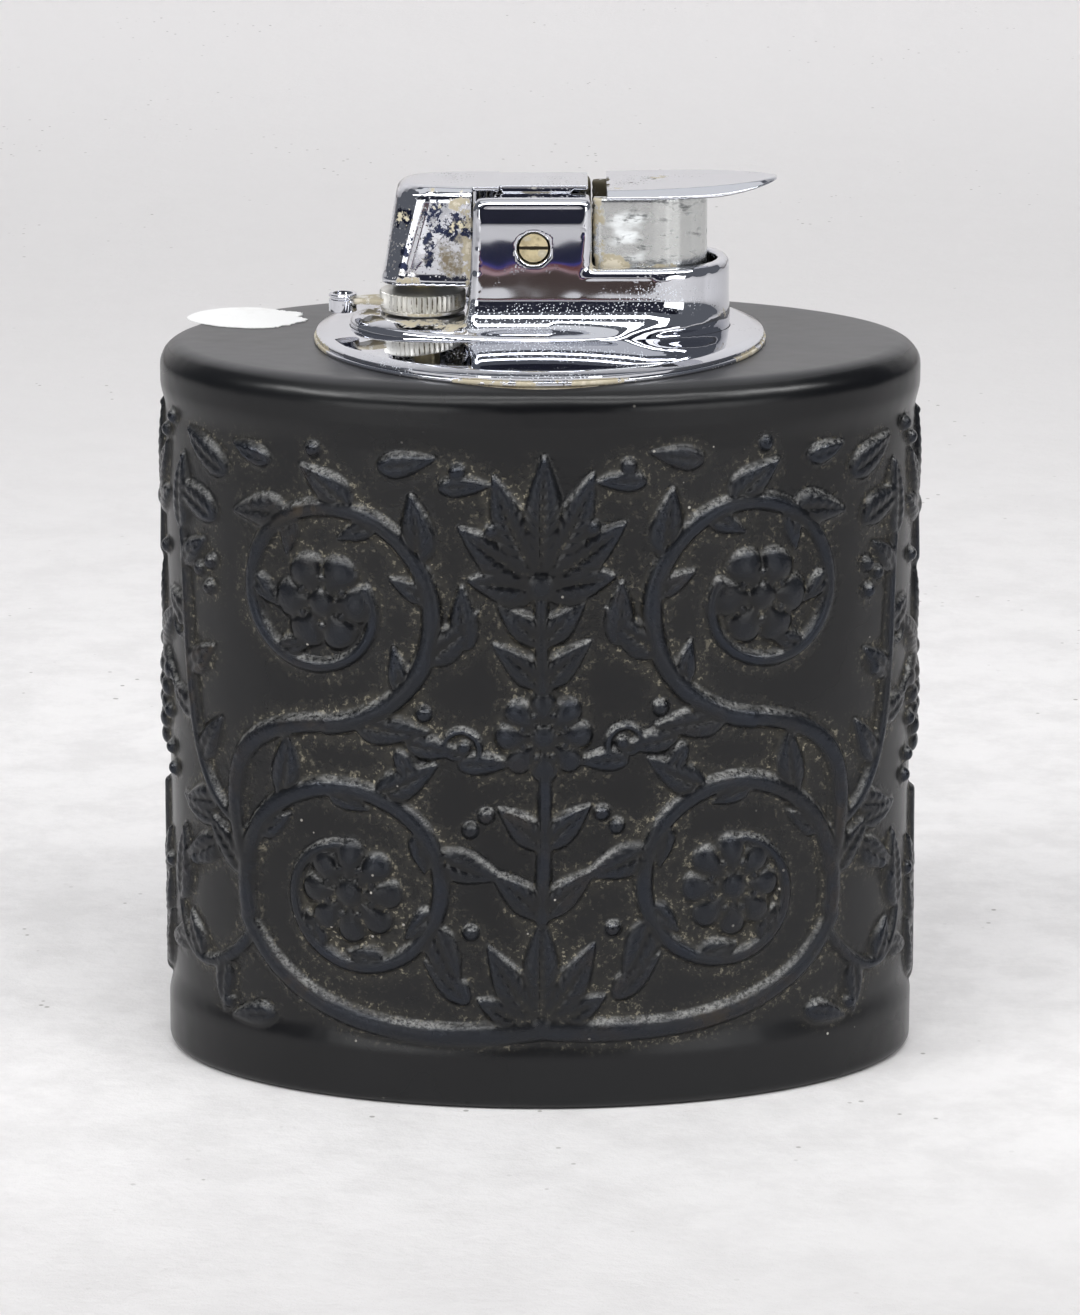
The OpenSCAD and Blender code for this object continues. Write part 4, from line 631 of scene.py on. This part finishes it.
scrap_finish.coat(scrap_finish.ramp(scrap_finish.noise(2.5, 5), 0.5, 0.75, 0, 0.5), colour=(0.66, 0.64, 0.60))
scrap_finish.bump(scrap_finish.noise(0.5, 4), 0.08)
scrap.data.materials.append(scrap_finish.material)
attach(scrap, "body")


# Dust crust
# Years of dust and polish packed into the wedge between the ceramic's rounded rim and the ring under the
# flange, widest at the left and right, where wiping never reached.
insets = np.linspace(RIM_R, 0, 60)
CRUST_TOP = BODY_H - 0.01


def ceramic_top(x, y):
    """Height of the ceramic's top at (x, y), in mm."""
    out = [(x / (BODY_A - i)) ** 2 + (y / (BODY_B - i)) ** 2 for i in insets]
    inset = np.interp(1, out[::-1], insets[::-1])
    return BODY_H - RIM_R + math.sqrt(RIM_R ** 2 - (RIM_R - inset) ** 2)


bpy.ops.object.select_all(action="DESELECT")
bpy.ops.mesh.primitive_torus_add(major_segments=720, minor_segments=8, major_radius=1, minor_radius=0.1)
crust = bpy.context.object
crust.name = "dust_crust"
lumps = np.random.default_rng(11)
waves = [(k, lumps.uniform(0, 6.28), lumps.uniform(0.4, 1) / k ** 0.6) for k in range(5, 150, 4)]
for v in crust.data.vertices:
    turn = math.atan2(v.co.y, v.co.x)
    across = math.hypot(v.co.x, v.co.y) - 1
    lump = sum(h * math.sin(k * turn + p) for k, p, h in waves) * 0.25
    wide = 0.10 + 0.14 * (lump + 0.5) + 0.75 * abs(math.cos(turn + 0.12)) ** 6 * max(0, 0.55 + 0.8 * lump)
    outer = 24.75 + 0.45 * math.cos(turn) ** 2 + max(0.0, wide)
    r = 23.9 if across < -0.02 else 24.4 if across < 0.05 else outer
    x, y = r * math.cos(turn), r * math.sin(turn)
    floor = ceramic_top(x, y)
    top = CRUST_TOP if across < 0.05 else min(floor + 0.05, CRUST_TOP)
    v.co.x, v.co.y, v.co.z = x * MM, y * MM, (top if v.co.z > 0 else floor - 0.12) * MM
bpy.ops.object.shade_smooth_by_angle(angle=math.radians(50))
packed = Finish("packed_dust", (0.42, 0.36, 0.26), 0.92)
packed.coat(packed.ramp(packed.noise(1.1, 6, 0.7), 0.4, 0.6), colour=(0.62, 0.57, 0.46))
packed.coat(packed.ramp(packed.noise(0.7, 6, 0.7), 0.56, 0.66), colour=(0.12, 0.10, 0.075))
packed.bump(packed.noise(0.35, 5, 0.7), 0.1)
crust.data.materials.append(packed.material)
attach(crust, "body")


# Seat ring and flange
# The ring is a thin stamping between ceramic and flange. The flange is turned brass, chromed: an upright
# rim, a bright bevel and a low crown, with a neck that goes down into the mouth.
def turned(name, sides, rings, centre=(0, 0)):
    """A turned piece on an upright axis: each ring (radius, height) in mm is extruded from the last."""
    cx, cy = centre[0] * MM, centre[1] * MM
    r, z = rings[0]
    bpy.ops.object.select_all(action="DESELECT")
    bpy.ops.mesh.primitive_circle_add(vertices=sides, radius=r * MM, location=(cx, cy, z * MM))
    piece = bpy.context.object
    piece.name = name
    bpy.ops.object.transform_apply(location=True)
    edit(piece)
    for (r0, z0), (r1, z1) in zip(rings, rings[1:]):
        bpy.ops.mesh.extrude_region_move(TRANSFORM_OT_translate={"value": (0, 0, (z1 - z0) * MM)})
        bpy.ops.transform.resize(value=(r1 / r0, r1 / r0, 1), center_override=(cx, cy, 0))
    bpy.ops.mesh.select_all(action="SELECT")
    bpy.ops.mesh.remove_doubles(threshold=0.004 * MM)
    face_outwards()
    return piece


def dressed(piece, finish, body, slot, *nodes, angle):
    """Gives a new piece its shading, finish and body, and hides the CAD nodes that it stands for. Its slot is
    not used.
    """
    pick(piece)
    if angle:
        bpy.ops.object.shade_smooth_by_angle(angle=math.radians(angle))
    piece.data.materials.clear()
    piece.data.materials.append(finish.material)
    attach(piece, body)
    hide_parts(*nodes)


def drill(piece, cutter):
    """Cuts cutter out of piece and removes it."""
    pick(piece)
    cut = piece.modifiers.new("cut", "BOOLEAN")
    cut.object = cutter
    cut.solver = "EXACT"
    bpy.ops.object.modifier_apply(modifier="cut")
    bpy.data.objects.remove(cutter)


def stain(piece, kind, *spots):
    """Paints where dirt or wear gathers: each spot is (x, y, z, reach or three reaches, strength), in mm."""
    at = places(piece) / MM
    amount = np.zeros(len(at))
    for x, y, z, reach, strength in spots:
        gap = (((at - (x, y, z)) / reach) ** 2).sum(axis=1)
        amount = np.maximum(amount, strength * np.exp(-gap))
    paint(piece, kind, amount)


def dirt_and_shade(finish):
    """Lays cream dirt where soil is painted, and dark olive for grime and for painted shade in gaps, with
    ragged edges.
    """
    soil = finish.ragged("soil", 1.2)
    finish.coat(finish.ramp(soil, 0.25, 0.45), colour=(0.46, 0.41, 0.30), roughness=0.85, metallic=0.0)
    finish.coat(finish.ramp(soil, 0.7, 0.95), colour=(0.66, 0.61, 0.50))
    # Dark olive: grime, and where it is laid thick in gaps and slots, painted shade.
    grime_and_shade = finish.ramp(finish.ragged("grime_and_shade", 1.0), 0.3, 0.45)
    finish.coat(grime_and_shade, colour=(0.075, 0.062, 0.036), roughness=0.8, metallic=0.0)
    return finish


def chrome(name, pits, haze):
    """Mirror chrome with age: hazy patches, dark pits and fine pale specks."""
    plate = Finish(name, (0.62, 0.63, 0.67), 0.018, 1.0)
    plate.coat(plate.ramp(plate.noise(5, 5), 0.45, 0.75, 0, haze), roughness=0.22)
    worn = plate.ramp(plate.noise(4, 4), 0.66 - 0.2 * pits, 0.80 - 0.2 * pits)
    pit = plate.times(plate.ramp(plate.cells(0.42), 0.30, 0.14), worn)
    plate.coat(pit, colour=(0.10, 0.09, 0.08), roughness=0.65, metallic=0.2)
    area = plate.plus(plate.attribute("specks"), plate.noise(1.5, 6, 0.7))
    dots = plate.times(plate.ramp(plate.cells(0.27), 0.36, 0.22), plate.ramp(area, 0.62, 0.85))
    plate.coat(dots, colour=(0.74, 0.78, 0.84), roughness=0.6, metallic=0.3)
    plate.bump(plate.noise(6, 2), 0.02)
    plate.bump(plate.ramp(pit, 0, 1, 1, 0), 0.03)
    return plate


plate_chrome = dirt_and_shade(chrome("chrome_plate", 0.35, 0.1))
old_chrome = dirt_and_shade(chrome("worn_chrome", 0.9, 0.8))
seat_ring = turned("seat_ring", 256, [
    (19.95, 82.01), (25.1, 82.01), (25.2, 82.1), (25.2, 82.4), (25.1, 82.49), (19.95, 82.49), (19.95, 82.01)])
stain(seat_ring, "soil", (-24, -3, 82.3, 8, 0.7), (24, -5, 82.3, 8, 0.7), (0, -25, 82.3, 14, 0.5))
dressed(seat_ring, old_chrome, "insert", "chrome_plate", "seat_ring", angle=50)

rim = [(24.88, 82.5), (24.97, 82.54), (25.0, 82.62), (25.0, 82.84), (24.96, 82.93), (24.86, 82.99)]
crown = [(23.95, 83.31), (23.82, 83.35), (23.6, 83.375)] + [
    (r, 83.35 + 1.3 * (23.8 - r) / 17.8) for r in (22.5, 20, 17, 14, 10, 6)]
flange = turned("flange", 256, [(0.001, 81.5), (19.05, 81.5), (19.05, 73), (19.15, 72.95), (19.8, 72.95),
                                (19.9, 73.05), (19.9, 82.5)] + rim + crown + [(0.001, 84.65)])

# The flange's oval seat for the housing, then its bores for regulator, flint tube, push rod and screws
WHEEL_X, WHEEL_Y = -13.07, 0
bpy.ops.mesh.primitive_cylinder_add(vertices=160, radius=1, depth=3 * MM, location=(0, 0, 84.5 * MM))
seat = bpy.context.object
seat.scale = (21.25 * MM, 12.05 * MM, 1)
drill(flange, seat)
bores = ((WHEEL_X, WHEEL_Y, 3.05), (-4.2, 0, 2.15), (16.5, 0, 1.05), (-0.5, 6.3, 1.05), (-0.5, -6.3, 1.05))
for x, y, r in bores:
    at = (x * MM, y * MM, 82 * MM)
    bpy.ops.mesh.primitive_cylinder_add(vertices=48, radius=r * MM, depth=5 * MM, location=at)
    drill(flange, bpy.context.object)
stain(flange, "specks", (0, -25, 83, (18, 3, 0.6), 0.32), (-16, -18, 83, (6, 5, 0.6), 0.35))
stain(flange, "soil", (-24.5, -4, 82.6, (4, 9, 0.35), 0.6), (24.5, -5, 82.6, (4, 9, 0.35), 0.6),
      (0, -25, 82.55, (26, 4, 0.12), 0.4))
dressed(flange, plate_chrome, "insert", "chrome_plate", "flange", angle=20)


# Housing
# A zinc die casting, polished and chromed: oval foot, platform for the wheel, tower with two cheeks, and the
# cup for the thumb block. Its edges are as round as polishing and plating leave them, and its cheeks run
# down into the skirt as one smooth sweep.
def copied(node, name):
    """A copy of a CAD node's mesh as a piece of its own, merged into one skin."""
    piece = bpy.data.objects.new(name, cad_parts[node].data.copy())
    bpy.context.collection.objects.link(piece)
    edit(piece)
    bpy.ops.mesh.remove_doubles(threshold=0.001 * MM)
    face_outwards()
    return piece


def recast(node, name, fineness, passes):
    """A copied node remade as one even skin, with faces fineness mm wide and its edges smoothed over."""
    piece = copied(node, name)
    skin = piece.modifiers.new("skin", "REMESH")
    skin.mode = "VOXEL"
    skin.voxel_size = fineness * MM
    bpy.ops.object.modifier_apply(modifier="skin")
    relaxed(piece, passes)
    bpy.ops.object.shade_smooth()
    return piece


def relaxed(piece, passes, wanted=None):
    """Smooths the piece, or only the vertices that wanted says."""
    pick(piece)
    ease_off = piece.modifiers.new("ease", "SMOOTH")
    ease_off.factor = 0.5
    ease_off.iterations = passes
    if wanted:
        chosen = [v.index for v in piece.data.vertices if wanted(v.co / MM)]
        piece.vertex_groups.new(name="wanted").add(chosen, 1, "ADD")
        ease_off.vertex_group = "wanted"
    bpy.ops.object.modifier_apply(modifier="ease")


housing = recast("housing", "housing", 0.22, 6)

# face is how far out the cheeks' outline stands at the height up over the flange's rim, and bow is the radius
# of the cup's round: both shrink towards the top and flare out at the skirt. What lies within 0.2 mm of that
# outline is set on it.
flat = places(housing) / MM
x, y, z = flat.T
up = z - 83
flare = 1.6 * (1 - np.clip((up - 1.5) / 3.5, 0, 1)) ** 2
face = 8.94 - 0.7 * up / 16.2 + flare - 0.17 * np.clip((z - 96.2) / 2.4, 0, 1) ** 2
bow = face - 0.12
bow_x = 21.05 + flare / 8 - bow
span = np.maximum(np.hypot(x - bow_x, np.abs(y) - 0.12), 1e-6)
off = np.where(x > bow_x, span - bow, np.abs(y) - face)
cheek = ease(x, -7.2, -6.7) * (1 - ease(x, 4.5, 5.0)) * (1 - ease(z, 98.1, 98.6))
cup = ease(x, 4.5, 5.0) * (1 - ease(z, 90.4, 90.8))
side = np.maximum(cheek, cup) * ease(z, 84.9, 85.3) * (np.abs(off) < 0.2) * off
flat[:, 0] -= side * np.where(x > bow_x, (x - bow_x) / span, 0)
flat[:, 1] -= side * np.where(x > bow_x, (np.abs(y) - 0.12) / span, 1) * np.sign(y)

# The same for the cheeks' ends towards the hood
end = -8.09 + 0.8 * up / 16.2 - flare / 2
side = ease(np.abs(y), 6.6, 6.9) * (1 - ease(np.abs(y), 7.5, 7.9))
side *= ease(z, 84.9, 85.3)
side *= 1 - ease(z, 98.1, 98.6)
side *= np.abs(x - end) < 0.16
flat[:, 0] += side * (end - x)
housing.data.vertices.foreach_set("co", (flat * MM).ravel())
relaxed(housing, 2)
relaxed(housing, 60, lambda c: 83.6 < c.z < 85.7 and c.x > 1)
relaxed(housing, 10, lambda c: c.x < -6.8 and 6.5 < abs(c.y) < 8.9 and 86 < c.z < 98)
stain(housing, "soil", (-7.9, -6.9, 86.0, (1.2, 1.5, 1.5), 1.0), (-7.7, -6.8, 91, (0.6, 0.8, 6), 0.6),
      (-9.5, -8.0, 85.2, (2.4, 2.2, 0.8), 0.5), (-13, -6.5, 85.1, (5, 2.5, 0.6), 0.35),
      (-18, 0, 85.1, (3, 4, 0.6), 0.45), (20.8, -5.5, 85.6, (1.6, 2.2, 0.9), 0.6),
      (6.2, -7.2, 91.5, (1.0, 1.2, 0.8), 1.0), (9, -6.8, 91.4, (3.5, 0.5, 0.25), 0.55),
      (-1, -4.5, 99.2, (4.5, 0.2, 0.3), 0.4), (5.6, -6, 95, (0.35, 1.5, 4), 0.5))
stain(housing, "specks", (0, -10, 86.3, (14, 4, 1.7), 0.5), (14, -9, 88.2, (6, 3, 2.5), 0.35),
      (0, -12, 85.0, (22, 4, 0.5), 0.3), (-2, -9, 91.6, (5, 1, 0.7), 0.15))
# Painted shade: dark olive on the tower's face and the back cheek, deep in the gap beside the thumb block.
stain(housing, "grime_and_shade", (6, 0, 98, (1.2, 4.0, 1.6), 3), (5.6, 6.5, 98.2, (0.9, 3.2, 1.6), 3))
dressed(housing, plate_chrome, "insert", "chrome_plate", "housing", angle=0)


# Pivot screw
# A slotted cheese-head brass screw, tarnished brown, in a counterbore of the tower's face. The hood turns on
# it.
pivot_screw = recast("pivot_screw", "pivot_screw", 0.055, 2)
brass = Finish("aged_brass", (0.74, 0.64, 0.40), 0.34, 0.8)
brass.coat(brass.ramp(brass.noise(1.3, 5), 0.46, 0.68, 0, 0.8), colour=(0.36, 0.30, 0.18), roughness=0.5)
spots = brass.ramp(brass.noise(0.9, 4), 0.62, 0.74)
brass.coat(spots, colour=(0.16, 0.08, 0.05), roughness=0.7, metallic=0.3)
brass.bump(brass.noise(0.35, 4), 0.012)
dirt_and_shade(brass)
# Painted shade: the slot is painted dark olive.
stain(pivot_screw, "grime_and_shade", (-0.7, -7.7, 93.8, (2.5, 0.3, 0.22), 9), (-0.7, -7.3, 93.8, (2.5, 0.35, 2.5), 5))
stain(pivot_screw, "soil", (-1.3, -8.2, 94.9, (0.7, 0.5, 0.5), 0.5), (0.2, -8.2, 93.1, (0.6, 0.5, 0.6), 0.45))
dressed(pivot_screw, brass, "insert", "aged_brass", "pivot_screw", angle=0)


# Hood
# A pressed and chromed brass hood over the burner, whose arm runs back over the slot between the cheeks.
# Its lower edge is rolled. Heat and soot have pitted its front and browned it next to the tower. Worn patches
# on its front and a streak down its left corner are glossy dark navy, a painted dark reflection.
hood = recast("hood", "hood", 0.12, 5)
for v in hood.data.vertices:
    x, y, z = (c / MM for c in v.co)
    if z < 90.6 and x < -7.8:
        out = math.hypot(x + 10, y)
        if out > 5.0:
            roll = 0.13 * math.exp(-((z - 89.6) / 0.42) ** 2)
            v.co.x += roll * (x + 10) / out * MM
            v.co.y += roll * y / out * MM
pitted = chrome("pitted_chrome", 0.9, 0.8)
# Painted reflection: worn patches turn a glossy dark navy, standing in for the dark room that the chrome
# mirrors.
bare_and_dark_reflection = pitted.ragged("bare_and_dark_reflection", 1.5)
pitted.coat(pitted.ramp(bare_and_dark_reflection, 0.42, 0.5), colour=(0.022, 0.028, 0.060), roughness=0.25, metallic=0.9)
brown = pitted.times(pitted.ragged("brown", 1.2), pitted.ramp(pitted.noise(0.35, 4, 0.8), 0.3, 0.6, 0.45, 1))
pitted.coat(pitted.ramp(brown, 0.25, 0.8), colour=(0.34, 0.32, 0.28), roughness=0.38, metallic=0.85)
pitted.coat(pitted.ramp(brown, 0.7, 0.95), colour=(0.23, 0.19, 0.13), roughness=0.6, metallic=0.5)
flakes = pitted.times(pitted.ramp(pitted.noise(0.9, 5, 0.7), 0.59, 0.64), pitted.ramp(bare_and_dark_reflection, 0.2, 0.5))
pitted.coat(flakes, colour=(0.68, 0.62, 0.45), roughness=0.8, metallic=0.0)
dirt_and_shade(pitted)
stain(hood, "bare_and_dark_reflection", (-10.2, -6, 96.7, (3.2, 3, 2.8), 0.72), (-15.0, -5, 95, (1.3, 3, 5), 0.58),
      (-12.2, -6, 93.4, (1.1, 3, 3), 0.5))
stain(hood, "brown", (-9.8, -6, 91.9, (3.4, 3, 2.6), 0.72), (-8.4, -6, 95, (1.5, 3, 4), 0.7),
      (-15.0, -5, 90.4, (2.5, 3, 0.6), 0.42))
stain(hood, "soil", (-7.7, -6.2, 94, (0.9, 2, 6), 0.62), (-9.0, -6, 98.2, (1.3, 2, 0.9), 0.55),
      (-14.5, -6, 89.6, (2.0, 2, 0.5), 0.45), (-12, -5, 99.9, (0.5, 0.6, 0.6), 0.5),
      (0, -3.9, 99.7, (4, 0.2, 0.3), 0.25))
# Grime and painted shade: dark olive on the arm's end, in the gap before the cap. A dark olive band runs
# along the lower front edge.
stain(hood, "grime_and_shade", (5.2, 0, 99.0, (0.5, 5, 0.5), 0.8), (-9, -6, 88.9, (3.5, 2, 0.25), 0.5))
dressed(hood, pitted, "hood", "chrome_plate", "hood", angle=0)


# Thumb block
# The thumb lever's bare zinc block, die-cast, unplated, with whitish oxide streaks from handling and a crust
# of dirt where it closes against the tower.
block = recast("lever_block", "lever_block", 0.16, 8)
for v in block.data.vertices:
    x, y, z = (c / MM for c in v.co)
    if x < 6.5 and abs(y) > 4.3:
        uneven = 0.85 + 0.15 * math.sin(7 * z + 3 * y)
        v.co.x -= 0.24 * (1 - ease(x, 6.15, 6.5)) * ease(z, 91.9, 92.8) * uneven * MM
zinc = Finish("bare_zinc", (0.60, 0.61, 0.60), 0.27, 1.0)
cloud = zinc.plus(zinc.attribute("oxide"), zinc.noise(2.6, 6, 0.68, zinc.stretched(1, 1, 2.2)))
zinc.coat(zinc.ramp(cloud, 0.72, 0.98, 0, 0.95), colour=(0.90, 0.93, 0.93), roughness=0.6, metallic=0.1)
zinc.coat(zinc.ramp(zinc.noise(1.5, 6, 0.7, zinc.stretched(1, 1, 2.4)), 0.54, 0.66, 0, 0.85),
          colour=(0.17, 0.18, 0.18), roughness=0.5, metallic=0.9)
zinc.bump(zinc.noise(0.8, 4), 0.02)
dirt_and_shade(zinc)
stain(block, "oxide", (9.6, -6, 95.5, (2.6, 3, 2.6), 0.45), (11, -6, 92.5, (2.5, 3, 1.2), 0.3))
stain(block, "soil", (6.2, -6, 94, (0.9, 2, 6), 0.62), (7.6, -6.2, 91.6, (2.2, 1.5, 1.0), 0.75),
      (12, -6.2, 91.2, (5, 1.5, 0.6), 0.5))
# Grime and painted shade: dark olive on the block's end, in the gap against the tower. Grime along its bottom
# edge.
stain(block, "grime_and_shade", (6.8, 1.5, 98.0, (1.8, 4.4, 3.0), 3), (12, -6, 90.9, (7, 2, 0.4), 0.5))
dressed(block, zinc, "lever", "bare_zinc", "lever_block", angle=0)


# Thumb cap
# The chromed leaf-shaped cap on the block, flat on top with a bright bevel round its edge. A thumb on its
# right end tips it down with the block.
cap = recast("lever_cap", "lever_cap", 0.11, 3)
stain(cap, "soil", (8.5, -5.0, 99.9, (1.6, 1.2, 0.6), 0.3), (13, 1.5, 100, (2.2, 1.6, 0.6), 0.25))
# Grime in spots on the top. Grime and painted shade: dark olive on the left end, in the gap before the hood's
# arm.
stain(cap, "grime_and_shade", (9.8, -1.5, 100, (1.4, 2.6, 0.5), 0.26), (12.6, 1.0, 100, (1.6, 2.2, 0.5), 0.3),
      (15.5, -1, 100, (2.0, 2.0, 0.5), 0.2), (7.4, 0, 99.4, (0.4, 6, 0.8), 0.6))
dressed(cap, plate_chrome, "lever", "chrome_plate", "lever_cap", angle=0)


# Flame regulator
# A knurled nickel-plated wheel with a plain lip, a flat arm let into its side and a small grooved knob. All
# three turn round the burner.
TEETH, ARM_REACH, ARM_TURN = 48, 8.9, math.radians(5)
wheel = turned("regulator_wheel", 288, [
    (1.75, 80.2), (2.9, 80.2), (3.0, 80.3), (3.0, 85.3), (4.6, 85.3), (4.68, 85.38), (4.68, 85.62),
    (4.6, 85.7), (4.55, 85.72), (4.79, 85.8), (4.8, 85.9), (4.8, 87.4), (4.73, 87.5), (4.6, 87.56),
    (3.0, 88.04), (2.8, 88.1), (1.85, 88.1), (1.75, 88.0), (1.75, 80.2)], (WHEEL_X, WHEEL_Y))
for v in wheel.data.vertices:
    x, y = v.co.x / MM - WHEEL_X, v.co.y / MM - WHEEL_Y
    r = math.hypot(x, y)
    if r > 4.7 and v.co.z > 85.75 * MM:
        tooth = TEETH * math.atan2(y, x) / (2 * math.pi) % 1
        inner = r - 0.3 * min(1, max(0, 1.9 * abs(tooth - 0.5) - 0.12) * 1.6)
        v.co.x = (WHEEL_X + x * inner / r) * MM
        v.co.y = (WHEEL_Y + y * inner / r) * MM
nickel = Finish("dull_nickel", (0.74, 0.73, 0.69), 0.34, 0.72)
nickel.coat(nickel.ramp(nickel.noise(1.8, 4), 0.4, 0.7, 0, 0.7), colour=(0.56, 0.54, 0.48), roughness=0.46)
nickel.bump(nickel.noise(0.5, 3), 0.01)
dirt_and_shade(nickel)
grooves = [(WHEEL_X + 4.5 * math.cos(a), WHEEL_Y + 4.5 * math.sin(a), 86.6, (0.14, 0.14, 1.0), 0.55)
           for a in np.radians(np.arange(TEETH) * 360 / TEETH)]
stain(wheel, "grime_and_shade", *grooves, (WHEEL_X, WHEEL_Y, 85.75, (5.5, 5.5, 0.06), 0.6))
stain(wheel, "soil", (-13, -4.6, 85.5, (5, 2, 0.2), 0.45), (-9, -3, 86, (1.4, 2, 1.4), 0.5))
dressed(wheel, nickel, "regulator", "dull_nickel", "regulator_wheel", angle=28)

arm = copied("regulator_arm", "regulator_arm")
rounded = arm.modifiers.new("rounded", "BEVEL")
rounded.width = 0.12 * MM
rounded.segments = 3
rounded.limit_method = "ANGLE"
rounded.angle_limit = math.radians(50)
bpy.ops.object.modifier_apply(modifier="rounded")
stain(arm, "soil", (-19, -1.5, 86.7, 2.4, 0.8), (-21, -1, 86.7, 1.6, 0.6))
dressed(arm, nickel, "regulator", "dull_nickel", "regulator_arm", angle=40)

knob_at = (WHEEL_X - ARM_REACH * math.cos(ARM_TURN), WHEEL_Y - ARM_REACH * math.sin(ARM_TURN))
knob = turned("regulator_knob", 96, [
    (0.001, 85.25), (1.45, 85.25), (1.575, 85.33), (1.575, 86.62), (1.5, 86.68), (1.38, 86.72),
    (1.38, 86.88), (1.5, 86.93), (1.575, 86.99), (1.575, 87.14), (1.5, 87.25), (1.3, 87.3), (1.12, 87.28),
    (1.06, 87.1), (0.001, 87.06)], knob_at)
stain(knob, "soil", (*knob_at, 85.3, 1.2, 0.4))
dressed(knob, plate_chrome, "regulator", "chrome_plate", "regulator_knob", angle=28)


# Burner, spark works and valve
# Small brass and steel parts inside the housing and under the flange, which keep their exact shapes.
def finished(finish, *nodes):
    """Gives CAD nodes, whose shape is right, a finish."""
    for node in nodes:
        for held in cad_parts[node].material_slots:
            held.material = finish.material


finished(brass, "burner_tube", "burner_jet", "valve_body", "flint_tube", "flint_screw", "filler_valve")
steel = Finish("hard_steel", (0.42, 0.42, 0.43), 0.3, 1.0)
steel.coat(steel.ramp(steel.noise(1.5, 5), 0.45, 0.7, 0, 0.8), colour=(0.24, 0.22, 0.20), roughness=0.5)
steel.bump(steel.noise(0.4, 3), 0.01)
finished(steel, "lever_pin", "spark_axle", "pawl", "spark_wheel", "ratchet_wheel", "push_rod", "valve_rocker",
         "rocker_pin", "rocker_bracket", "filler_stem", "housing_screws")
wire = Finish("spring_wire", (0.46, 0.46, 0.47), 0.24, 1.0)
wire.coat(wire.ramp(wire.noise(0.8, 4), 0.5, 0.75, 0, 0.7), colour=(0.28, 0.26, 0.24), roughness=0.42)
finished(wire, "hood_spring", "lever_spring", "flint_spring", "burner_spring", "filler_spring")
alloy = Finish("flint_alloy", (0.19, 0.18, 0.17), 0.6, 0.6)
alloy.coat(alloy.ramp(alloy.noise(0.5, 4), 0.45, 0.7), colour=(0.10, 0.095, 0.09), roughness=0.8)
finished(alloy, "flint")


# Tank, grip ring and seals
# A drawn tin-plated steel tank with a soldered lid, a black rubber ring that grips the mouth, and seals.
tin = Finish("tin_plate", (0.60, 0.60, 0.58), 0.3, 1.0)
drawn = tin.noise(7, 5, 0.6, tin.stretched(1, 1, 0.4))
tin.coat(tin.ramp(drawn, 0.42, 0.72, 0, 0.8), colour=(0.46, 0.45, 0.42), roughness=0.46)
tin.coat(tin.ramp(tin.noise(2.5, 4), 0.66, 0.76), colour=(0.26, 0.18, 0.11), roughness=0.7, metallic=0.4)
tin.bump(tin.noise(0.9, 3), 0.012)
finished(tin, "tank", "tank_lid")
rubber = Finish("black_rubber", (0.022, 0.021, 0.020), 0.62)
dusty = rubber.ramp(rubber.noise(2.2, 5), 0.45, 0.75, 0, 0.8)
rubber.coat(dusty, colour=(0.06, 0.055, 0.048), roughness=0.85)
rubber.bump(rubber.noise(0.5, 4), 0.03)
finished(rubber, "grip_ring", "valve_seal", "filler_seal")
